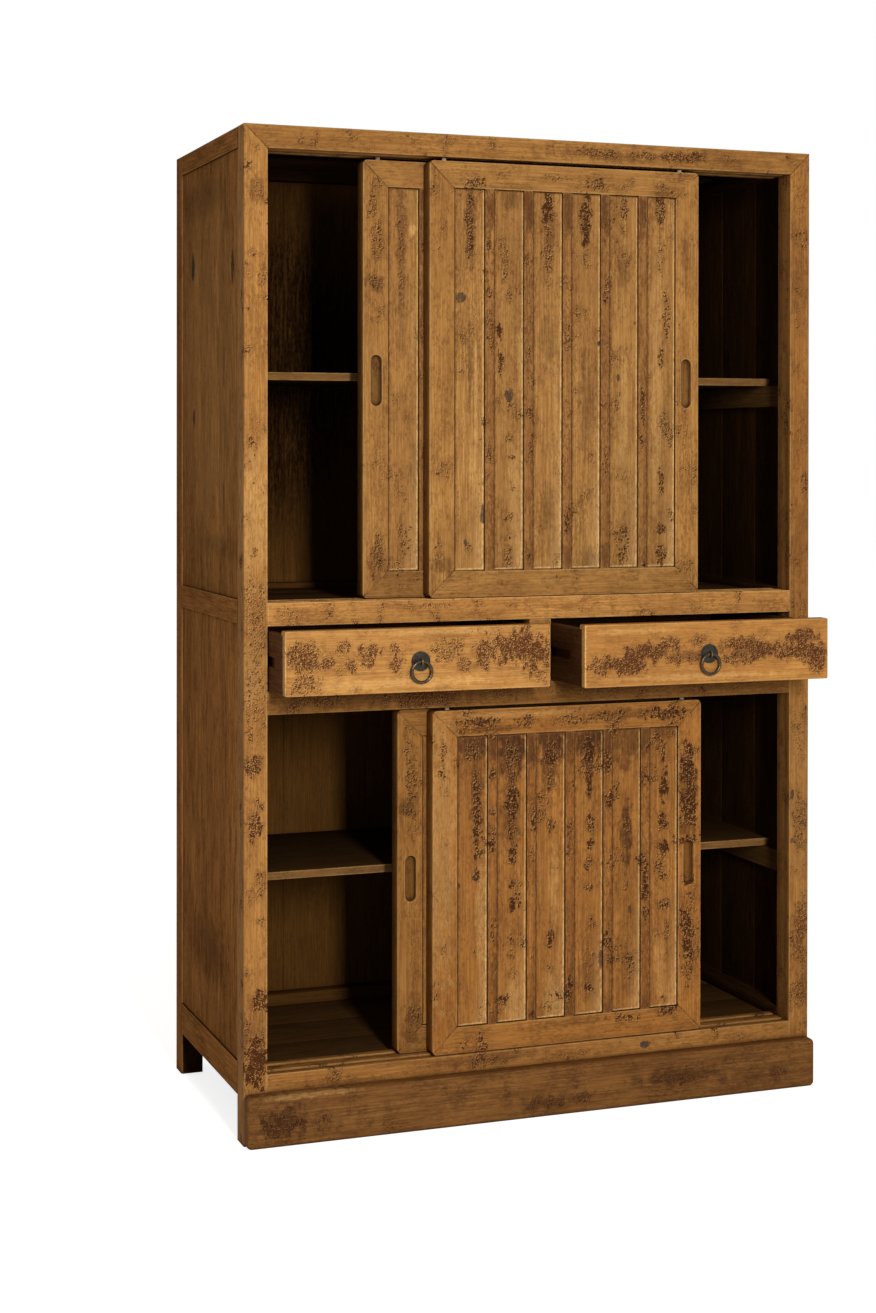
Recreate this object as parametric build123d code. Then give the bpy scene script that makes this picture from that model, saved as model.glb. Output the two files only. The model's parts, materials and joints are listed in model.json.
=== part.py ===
from build123d import *
import os

# A two-tier kitchen cabinet (mizuya): a pine post-and-rail carcass with four sliding
# doors, two drawers on side runners, two shelves and an applied plinth.
# Millimetres. X runs left to right, the front faces -Y, Z is up and the floor is z = 0.
# The origin is on the floor at the middle of the box that holds the cabinet with its
# doors and drawers as they stand, partly open.

# ---------------------------------------------------------------- driving dimensions

# Carcass
carcass_width = 1060.0
carcass_depth = 485.0
post_width = 40.0
post_depth = 44.0
post_corner_radius = 4.0
plinth_lap = 9.0
plinth_thickness = 24.0
plinth_radius = 7.0
plinth_corner_radius = 9.0

# Heights of the front, from the floor up
bottom_rail_base = 77.0
front_rail_height = 39.0
front_rail_back_lip = 6.0
lower_opening_height = 596.0
drawer_opening_height = 108.0
upper_opening_height = 753.0

# Side and back rails
bottom_side_rail_drop = 1.0
bottom_side_rail_height = 55.0
middle_side_rail_lift = 3.0
middle_side_rail_height = 40.0
top_side_rail_height = 35.0

# Joinery of the carcass
tenon_length = 14.0
tenon_thickness = 12.0
tenon_shoulder = 8.0
mitre_depth = 20.0
tenon_gap = 2.0
front_tenon_setback = 10.0
front_tenon_shoulder = 2.0
back_tenon_setback = 16.0
panel_thickness = 12.0
panel_recess = 3.0
board_tongue = 8.0
board_end_gap = 1.0
board_bevel = 1.5
side_board_count = 3
back_board_count = 6
top_board_count = 3

# Floors, shelves and what carries them
floor_thickness = 12.0
floor_drop = 6.0
floor_board_count = 3
shelf_thickness = 14.0
shelf_front_setback = 120.0
upper_shelf_lift = 393.0
lower_shelf_lift = 317.0
cleat_height = 39.0
cleat_thickness = 12.0
bearer_height = 27.0
bearer_bearing = 12.0

# Drawer openings
divider_width = 40.0
guide_top_gap = 20.0
runner_play = 0.5
runner_front_gap = 1.0

# Sliding doors
door_overlap = 40.0
door_thickness = 30.0
door_setback = 5.0
door_gap = 3.0
door_frame_width = 45.0
door_corner_radius = 8.0
door_top_gap = 6.0
door_shoulder_gap = 1.0
track_depth = 7.0
track_width = 10.0
track_play = 0.5
upper_track_depth = 12.0
guide_pin_diameter = 8.0
guide_pin_inset = 31.0
guide_pin_engagement = 5.0
guide_pin_seat = 12.0
door_board_count = 6
muntin_width = 16.0
muntin_thickness = 22.0
door_groove_depth = 5.5
door_groove_width = 6.0
door_groove_setback = 8.0
door_tongue_play = 1.0
door_board_recess = 1.0
door_board_thickness = 16.0
door_board_gap = 1.2
door_board_bevel = 2.0
finger_slot_width = 20.0
finger_slot_depth = 10.0
finger_slot_inset = 24.0
upper_slot_height = 87.0
upper_slot_lift = -2.0
lower_slot_height = 79.0
lower_slot_lift = 4.5

# Where the doors stand, as the distance slid from the closed end of the opening
upper_front_door_slid = 183.0
upper_rear_door_slid = 178.5
lower_front_door_slid = 176.5
lower_rear_door_slid = 241.5

# Drawers
drawer_end_gap = 2.5
drawer_height_gap = 1.0
drawer_inset = 2.0
drawer_back_gap = 14.0
drawer_front_thickness = 22.0
drawer_front_radius = 1.5
drawer_corner_radius = 3.0
drawer_side_thickness = 14.0
drawer_side_drop = 8.0
drawer_housing = 8.0
drawer_back_thickness = 12.0
drawer_back_drop = 14.0
drawer_bottom_thickness = 8.0
drawer_bottom_lift = 8.0
drawer_bottom_groove = 6.0
runner_groove_height = 17.0
runner_groove_depth = 7.0
runner_groove_lift = 42.0
runner_groove_stop = 62.0
runner_bottom_play = 1.0
left_drawer_pulled = 98.0
right_drawer_pulled = 141.0

# Ring pulls
pull_lift = 52.0
plate_radius = 16.25
plate_thickness = 2.0
plate_bevel = 0.8
eye_standoff = 7.0
eye_radius = 6.2
eye_thickness = 4.0
eye_hole_radius = 3.3
eye_shank_radius = 2.0
ring_radius = 17.25
ring_wire_radius = 2.7

# ------------------------------------------------------------------- derived places

half_width = carcass_width / 2
half_opening = half_width - post_width
opening_width = 2 * half_opening
bottom_rail_top = bottom_rail_base + front_rail_height
drawer_sill_base = bottom_rail_top + lower_opening_height
drawer_sill_top = drawer_sill_base + front_rail_height
upper_sill_base = drawer_sill_top + drawer_opening_height
upper_sill_top = upper_sill_base + front_rail_height
top_rail_base = upper_sill_top + upper_opening_height
carcass_height = top_rail_base + front_rail_height

plinth_height = bottom_rail_base + plinth_lap
bottom_side_rail_base = bottom_rail_base - bottom_side_rail_drop
bottom_side_rail_top = bottom_side_rail_base + bottom_side_rail_height
middle_side_rail_base = upper_sill_base + middle_side_rail_lift
middle_side_rail_top = middle_side_rail_base + middle_side_rail_height
top_side_rail_base = carcass_height - top_side_rail_height

back_post_front = carcass_depth - post_depth
panel_inside = panel_recess + panel_thickness
back_board_front = carcass_depth - panel_inside
lower_floor_top = bottom_rail_top - floor_drop
upper_floor_top = upper_sill_top - floor_drop
top_board_top = carcass_height - panel_recess
lower_shelf_top = lower_floor_top + lower_shelf_lift
upper_shelf_top = upper_floor_top + upper_shelf_lift
groove_reach = board_tongue + board_end_gap

# The front of the carcass is set so that the whole standing box is centred on Y.
forward_reach = right_drawer_pulled - drawer_inset + eye_standoff + eye_radius
front_y = -(carcass_depth - forward_reach) / 2

door_width = (opening_width + door_overlap) / 2
dust_board_reach = post_width - panel_inside - board_end_gap
rear_door_setback = door_setback + door_thickness + door_gap
front_track_middle = door_setback + door_thickness / 2
rear_track_middle = rear_door_setback + door_thickness / 2
front_rail_depth = rear_door_setback + door_thickness + front_rail_back_lip

drawer_opening_half = divider_width / 2
drawer_front_width = half_opening - drawer_opening_half - 2 * drawer_end_gap
drawer_middle = (half_opening + drawer_opening_half) / 2
drawer_length = back_post_front - drawer_back_gap - drawer_inset
drawer_base = drawer_sill_top + drawer_height_gap
drawer_front_top = upper_sill_base - drawer_height_gap
drawer_side_top = drawer_front_top - drawer_side_drop
drawer_bottom_base = drawer_base + drawer_bottom_lift
drawer_bottom_top = drawer_bottom_base + drawer_bottom_thickness
runner_groove_base = drawer_sill_top + runner_groove_lift
runner_front = drawer_inset + runner_groove_stop + runner_front_gap
runner_width = drawer_end_gap + runner_groove_depth - runner_bottom_play
pull_height = drawer_sill_top + pull_lift


# ---------------------------------------------------------------------- small helpers

def block(x0, x1, y0, y1, z0, z1):
    """A box between two corners; y is measured back from the carcass's front face."""
    middle = Pos((x0 + x1) / 2, front_y + (y0 + y1) / 2, (z0 + z1) / 2)
    return middle * Box(x1 - x0, y1 - y0, z1 - z0)


def mirrored(solid):
    """The same piece on the other side of the cabinet."""
    return mirror(solid, about=Plane.YZ)


def prism(points, y0, y1):
    """An outline of (x, z) points, carried from depth y0 back to depth y1."""
    plane = Plane(origin=(0, front_y + y1, 0), x_dir=(1, 0, 0), z_dir=(0, -1, 0))
    return extrude(plane * Polygon(*points, align=None), amount=y1 - y0)


def save(name, solids):
    """Write one named piece, or one group of like pieces, to its own file."""
    shape = solids[0] if len(solids) == 1 else Compound(children=list(solids))
    shape.label = name
    export_step(shape, os.path.join("parts", name + ".step"))


# ----------------------------------------------------------------------------- posts

def side_rail_levels():
    """Base and top of each side and back rail."""
    return {
        "bottom": (bottom_side_rail_base, bottom_side_rail_top),
        "middle": (middle_side_rail_base, middle_side_rail_top),
        "top": (top_side_rail_base, carcass_height),
    }


def panel_levels():
    """Base and top of the panel fields between those rails."""
    return {
        "lower": (bottom_side_rail_top, middle_side_rail_base),
        "upper": (middle_side_rail_top, top_side_rail_base),
    }


def front_tenon_levels():
    """Base and top of the tenon of each front rail that is tenoned into the posts."""
    return [front_tenon(base) for base in (bottom_rail_base, drawer_sill_base, upper_sill_base)]


def front_tenon(rail_base):
    """Base and top of a front rail's tenon, which lies between the depths of its tracks."""
    return (rail_base + upper_track_depth + front_tenon_shoulder,
            rail_base + front_rail_height - track_depth - front_tenon_shoulder)


def side_tenon_x():
    """Left-hand x limits of the tenons that enter the posts from behind or before."""
    inner = -half_opening - tenon_length - tenon_gap
    return inner - tenon_thickness, inner


def side_panel_x():
    """Left-hand x limits of the side panels and of the grooves that hold them."""
    outer = -half_width + panel_recess
    return outer, outer + panel_thickness


def back_tenon_y():
    """Depth limits of the back rails' tenons."""
    front = back_post_front + back_tenon_setback
    return front, front + tenon_thickness


def left_post(y0, y1, mortise_y0, mortise_y1, groove_y0, groove_y1):
    """A left-hand post with mortises and panel grooves for the side rails and panels."""
    post = block(-half_width, -half_opening, y0, y1, 0, carcass_height)
    outer_edges = post.edges().filter_by(Axis.Z).sort_by(Axis.X)[:2]
    post = fillet(outer_edges, post_corner_radius)
    tenon_x0, tenon_x1 = side_tenon_x()
    for base, top in side_rail_levels().values():
        post -= block(tenon_x0, tenon_x1, mortise_y0, mortise_y1,
                      base + tenon_shoulder, top - tenon_shoulder)
    panel_x0, panel_x1 = side_panel_x()
    for base, top in panel_levels().values():
        post -= block(panel_x0, panel_x1, groove_y0, groove_y1, base, top)
    return post


def left_front_post():
    post = left_post(0, post_depth,
                     post_depth - tenon_length, post_depth,
                     post_depth - groove_reach, post_depth)
    for base, top in front_tenon_levels():
        post -= block(-half_opening - tenon_length, -half_opening,
                      front_tenon_setback, front_tenon_setback + tenon_thickness, base, top)
    return post - top_corner()


def top_corner():
    """The corner of the top rail that is mitred over the front of the left post."""
    outline = [(-half_width, carcass_height),
               (-half_opening, top_rail_base),
               (-half_opening, carcass_height)]
    return prism(outline, 0, mitre_depth)


def left_back_post():
    post = left_post(back_post_front, carcass_depth,
                     back_post_front, back_post_front + tenon_length,
                     back_post_front, back_post_front + groove_reach)
    tenon_y0, tenon_y1 = back_tenon_y()
    for base, top in side_rail_levels().values():
        post -= block(-half_opening - tenon_length, -half_opening, tenon_y0, tenon_y1,
                      base + tenon_shoulder, top - tenon_shoulder)
    for base, top in panel_levels().values():
        post -= block(-half_opening - groove_reach, -half_opening,
                      back_board_front, back_board_front + panel_thickness, base, top)
    return post


def posts():
    front, back = left_front_post(), left_back_post()
    return {
        "front_post_left": [front],
        "front_post_right": [mirrored(front)],
        "back_post_left": [back],
        "back_post_right": [mirrored(back)],
    }


# ----------------------------------------------------------------------- front rails

def front_rail(base, tenoned=True):
    """A rail between the front posts, deep enough to carry both door tracks."""
    rail = block(-half_opening, half_opening, 0, front_rail_depth,
                 base, base + front_rail_height)
    if tenoned:
        tenon_base, tenon_top = front_tenon(base)
        rail += block(-half_opening - tenon_length, half_opening + tenon_length,
                      front_tenon_setback, front_tenon_setback + tenon_thickness,
                      tenon_base, tenon_top)
    return rail


def tracks(z0, z1):
    """The two door grooves of a rail, between two heights."""
    return [block(-half_opening, half_opening, middle - track_width / 2,
                  middle + track_width / 2, z0, z1)
            for middle in (front_track_middle, rear_track_middle)]


def floor_groove(top):
    """The groove in the back of a front rail that holds the front edge of a floor."""
    return block(-half_opening, half_opening, front_rail_depth - groove_reach,
                 front_rail_depth, top - floor_thickness, top)


def front_rails():
    bottom = front_rail(bottom_rail_base) - floor_groove(lower_floor_top)
    drawer_sill = front_rail(drawer_sill_base) - floor_groove(drawer_sill_top)
    upper_sill = front_rail(upper_sill_base) - floor_groove(upper_floor_top)
    for groove in tracks(bottom_rail_top - track_depth, bottom_rail_top):
        bottom -= groove
    for groove in tracks(drawer_sill_base, drawer_sill_base + upper_track_depth):
        drawer_sill -= groove
    for groove in tracks(upper_sill_top - track_depth, upper_sill_top):
        upper_sill -= groove
    top = front_rail(top_rail_base, tenoned=False)
    ear = top_corner()
    top += ear
    top += mirrored(ear)
    for groove in tracks(top_rail_base, top_rail_base + upper_track_depth):
        top -= groove
    top -= floor_groove(top_board_top)
    divider = block(-drawer_opening_half, drawer_opening_half, 0, post_depth,
                    drawer_sill_top, upper_sill_base)
    return {
        "bottom_front_rail": [bottom],
        "drawer_sill_rail": [drawer_sill],
        "upper_sill_rail": [upper_sill],
        "top_front_rail": [top],
        "drawer_divider": [divider],
    }


# -------------------------------------------------------------- side and back rails

def panel_groove_levels(level, base, top):
    """Heights of the panel grooves in a rail: above it, below it or both."""
    above = (top - groove_reach, top)
    below = (base, base + groove_reach)
    return {"bottom": [above], "middle": [above, below], "top": [below]}[level]


def floor_levels():
    """Base and top of the floor or top boards that each level of rail holds."""
    floors = {"bottom": lower_floor_top, "middle": upper_floor_top, "top": top_board_top}
    return {level: (top - floor_thickness, top) for level, top in floors.items()}


def left_side_rail(level):
    base, top = side_rail_levels()[level]
    rail = block(-half_width, -half_opening, post_depth, back_post_front, base, top)
    tenon_x0, tenon_x1 = side_tenon_x()
    rail += block(tenon_x0, tenon_x1, post_depth - tenon_length,
                  back_post_front + tenon_length, base + tenon_shoulder, top - tenon_shoulder)
    panel_x0, panel_x1 = side_panel_x()
    for z0, z1 in panel_groove_levels(level, base, top):
        rail -= block(panel_x0, panel_x1, post_depth, back_post_front, z0, z1)
    z0, z1 = floor_levels()[level]
    rail -= block(-half_opening - groove_reach, -half_opening,
                  front_rail_depth, back_post_front, z0, z1)
    return rail


def back_rail(level):
    base, top = side_rail_levels()[level]
    rail = block(-half_opening, half_opening, back_post_front, carcass_depth, base, top)
    tenon_y0, tenon_y1 = back_tenon_y()
    rail += block(-half_opening - tenon_length, half_opening + tenon_length,
                  tenon_y0, tenon_y1, base + tenon_shoulder, top - tenon_shoulder)
    for z0, z1 in panel_groove_levels(level, base, top):
        rail -= block(-half_opening, half_opening, back_board_front,
                      back_board_front + panel_thickness, z0, z1)
    z0, z1 = floor_levels()[level]
    rail -= block(-half_opening, half_opening, back_post_front,
                  back_post_front + groove_reach, z0, z1)
    return rail


def side_and_back_rails():
    pieces = {}
    for level in side_rail_levels():
        left = left_side_rail(level)
        pieces["side_" + level + "_rails"] = [left, mirrored(left)]
        pieces["back_" + level + "_rail"] = [back_rail(level)]
    return pieces


# ---------------------------------------------------------------------------- boards

def bevelled(board, axis):
    """A board whose long edges are bevelled, so that joints show as V grooves."""
    return chamfer(board.edges().filter_by(axis), board_bevel)


def strip(start, stop, count, index):
    """Limits of one of count equal strips between start and stop."""
    pitch = (stop - start) / count
    return start + index * pitch, start + (index + 1) * pitch


def side_boards(base, top):
    """The vertical boards of one left-hand side panel."""
    x0, x1 = side_panel_x()
    boards = []
    for index in range(side_board_count):
        y0, y1 = strip(post_depth, back_post_front, side_board_count, index)
        board = bevelled(block(x0, x1, y0, y1, base - board_tongue, top + board_tongue), Axis.Z)
        if index == 0:
            board += block(x0, x1, y0 - board_tongue, y0 + board_bevel, base, top)
        if index == side_board_count - 1:
            board += block(x0, x1, y1 - board_bevel, y1 + board_tongue, base, top)
        boards.append(board)
    return boards


def back_boards(base, top):
    """The vertical boards of one back panel."""
    y0, y1 = back_board_front, back_board_front + panel_thickness
    boards = []
    for index in range(back_board_count):
        x0, x1 = strip(-half_opening, half_opening, back_board_count, index)
        board = bevelled(block(x0, x1, y0, y1, base - board_tongue, top + board_tongue), Axis.Z)
        if index == 0:
            board += block(x0 - board_tongue, x0 + board_bevel, y0, y1, base, top)
        if index == back_board_count - 1:
            board += block(x1 - board_bevel, x1 + board_tongue, y0, y1, base, top)
        boards.append(board)
    return boards


def level_boards(top, count, end_reach, back_tongue):
    """Boards that lie level behind a front rail and reach past the opening's ends."""
    z0, z1 = top - floor_thickness, top
    boards = []
    for index in range(count):
        y0, y1 = strip(front_rail_depth, back_post_front, count, index)
        board = block(-half_opening - end_reach, half_opening + end_reach, y0, y1, z0, z1)
        if index == 0:
            board += block(-half_opening, half_opening, y0 - board_tongue, y0, z0, z1)
        if index == count - 1 and back_tongue:
            board += block(-half_opening, half_opening, y1, y1 + back_tongue, z0, z1)
        boards.append(bevelled_top(board))
    return boards


def bevelled_top(board):
    """Ease the two long edges of a level board's upper face."""
    edges = board.edges().filter_by(Axis.X).group_by(Axis.Z)[-1]
    longest = edges.sort_by(Edge.length)[-2:]
    return chamfer(longest, board_bevel / 2)


def boards():
    side = [board for base, top in panel_levels().values() for board in side_boards(base, top)]
    back = [board for base, top in panel_levels().values() for board in back_boards(base, top)]
    return {
        "left_side_boards": side,
        "right_side_boards": [mirrored(board) for board in side],
        "back_boards": back,
        "top_boards": level_boards(top_board_top, top_board_count,
                                   board_tongue, board_tongue),
        "upper_floor_boards": level_boards(upper_floor_top, floor_board_count,
                                           board_tongue, board_tongue),
        "lower_floor_boards": level_boards(lower_floor_top, floor_board_count,
                                           board_tongue, board_tongue),
        "drawer_dust_boards": level_boards(drawer_sill_top, floor_board_count,
                                           dust_board_reach, 0),
    }


# ------------------------------------------------------- shelves, cleats and plinth

def shelf(top):
    """A shelf that rests on two cleats and is notched round the back posts."""
    base = top - shelf_thickness
    half = half_width - panel_inside - board_end_gap
    return (block(-half, half, shelf_front_setback, back_post_front - board_end_gap, base, top)
            + block(-half_opening + board_end_gap, half_opening - board_end_gap,
                    shelf_front_setback, back_board_front, base, top))


def cleat(top):
    """A bearer on the inside of the left side panel, from post to post."""
    inside = -half_width + panel_inside
    return block(inside, inside + cleat_thickness, post_depth, back_post_front,
                 top - cleat_height, top)


def dust_bearer():
    """A bearer from the side panel in to the dust boards' ends."""
    inside = -half_width + panel_inside
    top = drawer_sill_top - floor_thickness
    return block(inside, -half_opening + bearer_bearing, front_rail_depth, back_post_front,
                 top - bearer_height, top)


def plinth():
    """The board across the foot, with its corners and its front outline rounded."""
    board = block(-half_width, half_width, -plinth_thickness, 0, 0, plinth_height)
    board = fillet(board.edges().filter_by(Axis.Y), plinth_corner_radius)
    return fillet(board.faces().sort_by(Axis.Y)[0].edges(), plinth_radius)


def shelves_and_plinth():
    bearers = [cleat(top - shelf_thickness) for top in (upper_shelf_top, lower_shelf_top)]
    bearers.append(dust_bearer())
    return {
        "upper_shelf": [shelf(upper_shelf_top)],
        "lower_shelf": [shelf(lower_shelf_top)],
        "shelf_and_dust_board_cleats": bearers + [mirrored(piece) for piece in bearers],
        "plinth_board": [plinth()],
    }


# --------------------------------------------------------- drawer guides and runners

def drawer_guides():
    """Bearers on both sides and in the middle, and the runners that they carry."""
    guide_top = upper_sill_base - guide_top_gap
    inside = -half_width + panel_inside
    left = block(inside, -half_opening, post_depth, back_post_front, drawer_sill_top, guide_top)
    middle = block(-drawer_opening_half, drawer_opening_half, post_depth, back_post_front,
                   drawer_sill_top, guide_top)
    base = runner_groove_base + runner_play
    top = runner_groove_base + runner_groove_height - runner_play
    outer = block(-half_opening, -half_opening + runner_width, runner_front, back_post_front,
                  base, top)
    inner = block(-drawer_opening_half - runner_width, -drawer_opening_half,
                  runner_front, back_post_front, base, top)
    return {
        "drawer_guides": [left, middle, mirrored(left)],
        "drawer_runners": [outer, inner, mirrored(inner), mirrored(outer)],
    }


# ----------------------------------------------------------------------------- doors

def door_outline(left, setback, base, top):
    """A solid of the whole door's size with rounded corners, which trims its frame."""
    plane = Plane(origin=(left + door_width / 2, front_y + setback + door_thickness,
                          (base + top) / 2), x_dir=(1, 0, 0), z_dir=(0, -1, 0))
    return extrude(plane * RectangleRounded(door_width, top - base, door_corner_radius),
                   amount=door_thickness)


def door_stile(left, setback, base, top):
    """A left-hand stile, mitred at both ends and grooved for the panel boards."""
    right = left + door_frame_width
    outline = [(left, base), (right, base + door_frame_width),
               (right, top - door_frame_width), (left, top)]
    stile = prism(outline, setback, setback + door_thickness)
    stile &= door_outline(left, setback, base, top)
    groove_front = setback + door_groove_setback
    return stile - block(right - door_groove_depth, right, groove_front,
                         groove_front + door_groove_width,
                         base + door_frame_width, top - door_frame_width)


def door_bottom_rail(left, setback, base, top):
    """The bottom rail of a door, with the tongue that runs in the track."""
    right = left + door_width
    outline = [(left, base), (right, base),
               (right - door_frame_width, base + door_frame_width),
               (left + door_frame_width, base + door_frame_width)]
    rail = prism(outline, setback, setback + door_thickness)
    rail &= door_outline(left, setback, base, top)
    middle = setback + door_thickness / 2
    half_tongue = track_width / 2 - track_play
    rail += block(left + door_corner_radius, right - door_corner_radius,
                  middle - half_tongue, middle + half_tongue,
                  base - door_shoulder_gap - track_depth, base)
    groove_front = setback + door_groove_setback
    return rail - block(left + door_frame_width, right - door_frame_width, groove_front,
                        groove_front + door_groove_width,
                        base + door_frame_width - door_groove_depth, base + door_frame_width)


def door_top_rail(left, setback, base, top):
    """The top rail of a door, drilled for its two guide pins."""
    right = left + door_width
    outline = [(left, top), (left + door_frame_width, top - door_frame_width),
               (right - door_frame_width, top - door_frame_width), (right, top)]
    rail = prism(outline, setback, setback + door_thickness)
    rail &= door_outline(left, setback, base, top)
    groove_front = setback + door_groove_setback
    rail -= block(left + door_frame_width, right - door_frame_width, groove_front,
                  groove_front + door_groove_width,
                  top - door_frame_width, top - door_frame_width + door_groove_depth)
    for pin in guide_pin_places(left):
        hole = Cylinder(guide_pin_diameter / 2, guide_pin_seat,
                        align=(Align.CENTER, Align.CENTER, Align.MAX))
        rail -= Pos(pin, front_y + setback + door_thickness / 2, top) * hole
    return rail


def guide_pin_places(left):
    """The two pins' places in x, for a door whose left edge is given."""
    return left + guide_pin_inset, left + door_width - guide_pin_inset


def guide_pin(x, setback, top):
    """A round-headed peg that stands in the groove above the door."""
    radius = guide_pin_diameter / 2
    shank = guide_pin_seat + door_top_gap + guide_pin_engagement - radius
    peg = Cylinder(radius, shank, align=(Align.CENTER, Align.CENTER, Align.MIN))
    peg += Pos(0, 0, shank) * Sphere(radius)
    return Pos(x, front_y + setback + door_thickness / 2, top - guide_pin_seat) * peg


def door_strip(left, index):
    """Limits in x of one panel board's place between the stiles and muntins."""
    pitch = (door_width - 2 * door_frame_width + muntin_width) / door_board_count
    start = left + door_frame_width + index * pitch
    return start, start + pitch - muntin_width


def door_board(left, setback, base, top, index):
    """A panel board: a bevelled field with a tongue all round it."""
    x0, x1 = door_strip(left, index)
    z0, z1 = base + door_frame_width, top - door_frame_width
    face = setback + door_board_recess
    gap = door_board_gap
    field = block(x0 + gap, x1 - gap, face, face + door_board_thickness, z0 + gap, z1 - gap)
    front_edges = field.faces().sort_by(Axis.Y)[0].edges()
    field = chamfer(front_edges, door_board_bevel)
    tongue = door_groove_depth - door_tongue_play
    y0 = setback + door_groove_setback
    y1 = y0 + door_groove_width
    return (field + block(x0 - tongue, x1 + tongue, y0, y1, z0 + gap, z1 - gap)
            + block(x0 + gap, x1 - gap, y0, y1, z0 - tongue, z1 + tongue))


def door_muntin(left, setback, base, top, index):
    """A narrow upright between two boards, flush with the frame."""
    x0 = door_strip(left, index)[1]
    x1 = x0 + muntin_width
    z0, z1 = base + door_frame_width, top - door_frame_width
    y0 = setback + door_groove_setback
    y1 = y0 + door_groove_width
    muntin = block(x0, x1, setback, setback + muntin_thickness, z0, z1)
    muntin += block(x0 + door_groove_depth, x1 - door_groove_depth, y0, y1,
                    z0 - door_groove_depth, z1 + door_groove_depth)
    for a, b in ((x0, x0 + door_groove_depth), (x1 - door_groove_depth, x1)):
        muntin -= block(a, b, y0, y1, z0, z1)
    return muntin


def finger_slot(x, setback, middle, height):
    """The round-ended recess in a door stile that a finger pulls in."""
    straight = height - finger_slot_width
    radius = finger_slot_width / 2
    slot = block(x - radius, x + radius, setback, setback + finger_slot_depth,
                 middle - straight / 2, middle + straight / 2)
    end = Rot(90, 0, 0) * Cylinder(radius, finger_slot_depth)
    depth = front_y + setback + finger_slot_depth / 2
    for z in (middle - straight / 2, middle + straight / 2):
        slot += Pos(x, depth, z) * end
    return slot


def door(name, left, setback, base, top, slot, slot_on_left):
    """The five named nodes of one sliding door; slot is its height and its lift."""
    stile = door_stile(left, setback, base, top)
    other = Pos(2 * left + door_width, 0, 0) * mirrored(stile)
    slot_x = left + (finger_slot_inset if slot_on_left else door_width - finger_slot_inset)
    slot_height, slot_lift = slot
    recess = finger_slot(slot_x, setback, (base + top) / 2 + slot_lift, slot_height)
    stiles = [stile - recess, other] if slot_on_left else [stile, other - recess]
    return {
        name + "_stiles": stiles,
        name + "_rails": [door_bottom_rail(left, setback, base, top),
                          door_top_rail(left, setback, base, top)],
        name + "_boards": [door_board(left, setback, base, top, index)
                           for index in range(door_board_count)],
        name + "_muntins": [door_muntin(left, setback, base, top, index)
                            for index in range(door_board_count - 1)],
        name + "_guide_pins": [guide_pin(x, setback, top) for x in guide_pin_places(left)],
    }


def doors():
    pieces = {}
    storeys = {
        "upper": (upper_sill_top, top_rail_base, (upper_slot_height, upper_slot_lift),
                  upper_front_door_slid, upper_rear_door_slid),
        "lower": (bottom_rail_top, drawer_sill_base, (lower_slot_height, lower_slot_lift),
                  lower_front_door_slid, lower_rear_door_slid),
    }
    for storey, (sill, lintel, slot, front_slid, rear_slid) in storeys.items():
        base, top = sill + door_shoulder_gap, lintel - door_top_gap
        front_left = half_opening - door_width - front_slid
        rear_left = -half_opening + rear_slid
        pieces.update(door(storey + "_front_door", front_left, door_setback,
                           base, top, slot, slot_on_left=False))
        pieces.update(door(storey + "_rear_door", rear_left, rear_door_setback,
                           base, top, slot, slot_on_left=True))
    return pieces


# --------------------------------------------------------------------------- drawers

def drawer_front(centre, face):
    """The drawer's front board, housed for the sides and grooved for the bottom."""
    half = drawer_front_width / 2
    front = block(centre - half, centre + half, face, face + drawer_front_thickness,
                  drawer_base, drawer_front_top)
    front = fillet(front.edges().filter_by(Axis.Y), drawer_corner_radius)
    front = fillet(front.faces().sort_by(Axis.Y)[0].edges(), drawer_front_radius)
    back = face + drawer_front_thickness
    inner = half - drawer_side_thickness
    for x0, x1 in ((centre - half, centre - inner), (centre + inner, centre + half)):
        front -= block(x0, x1, back - drawer_housing, back, drawer_base, drawer_side_top)
    return front - block(centre - inner, centre + inner, back - drawer_bottom_groove, back,
                         drawer_bottom_base, drawer_bottom_top)


def drawer_side(centre, face, side):
    """A drawer side; side is -1 for the left one and +1 for the right one."""
    half = drawer_front_width / 2
    start = face + drawer_front_thickness - drawer_housing
    end = face + drawer_length
    outer, inner = centre + side * half, centre + side * (half - drawer_side_thickness)
    x0, x1 = sorted((outer, inner))
    board = block(x0, x1, start, end, drawer_base, drawer_side_top)
    g0, g1 = sorted((outer, outer - side * runner_groove_depth))
    board -= block(g0, g1, face + runner_groove_stop, end, runner_groove_base,
                   runner_groove_base + runner_groove_height)
    b0, b1 = sorted((inner, inner + side * drawer_bottom_groove))
    return board - block(b0, b1, face + drawer_front_thickness - drawer_bottom_groove, end,
                         drawer_bottom_base, drawer_bottom_top)


def drawer_back(centre, face):
    """The drawer's back, between the sides and on top of the bottom board."""
    inner = drawer_front_width / 2 - drawer_side_thickness
    end = face + drawer_length
    return block(centre - inner, centre + inner, end - drawer_back_thickness, end,
                 drawer_bottom_top, drawer_side_top - drawer_back_drop)


def drawer_bottom(centre, face):
    """The bottom board, let into the front and both sides."""
    inner = drawer_front_width / 2 - drawer_side_thickness
    reach = inner + drawer_bottom_groove
    back = face + drawer_front_thickness
    z0, z1 = drawer_bottom_base, drawer_bottom_top
    return (block(centre - reach, centre + reach, back, face + drawer_length, z0, z1)
            + block(centre - inner, centre + inner, back - drawer_bottom_groove,
                    face + drawer_length, z0, z1))


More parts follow.
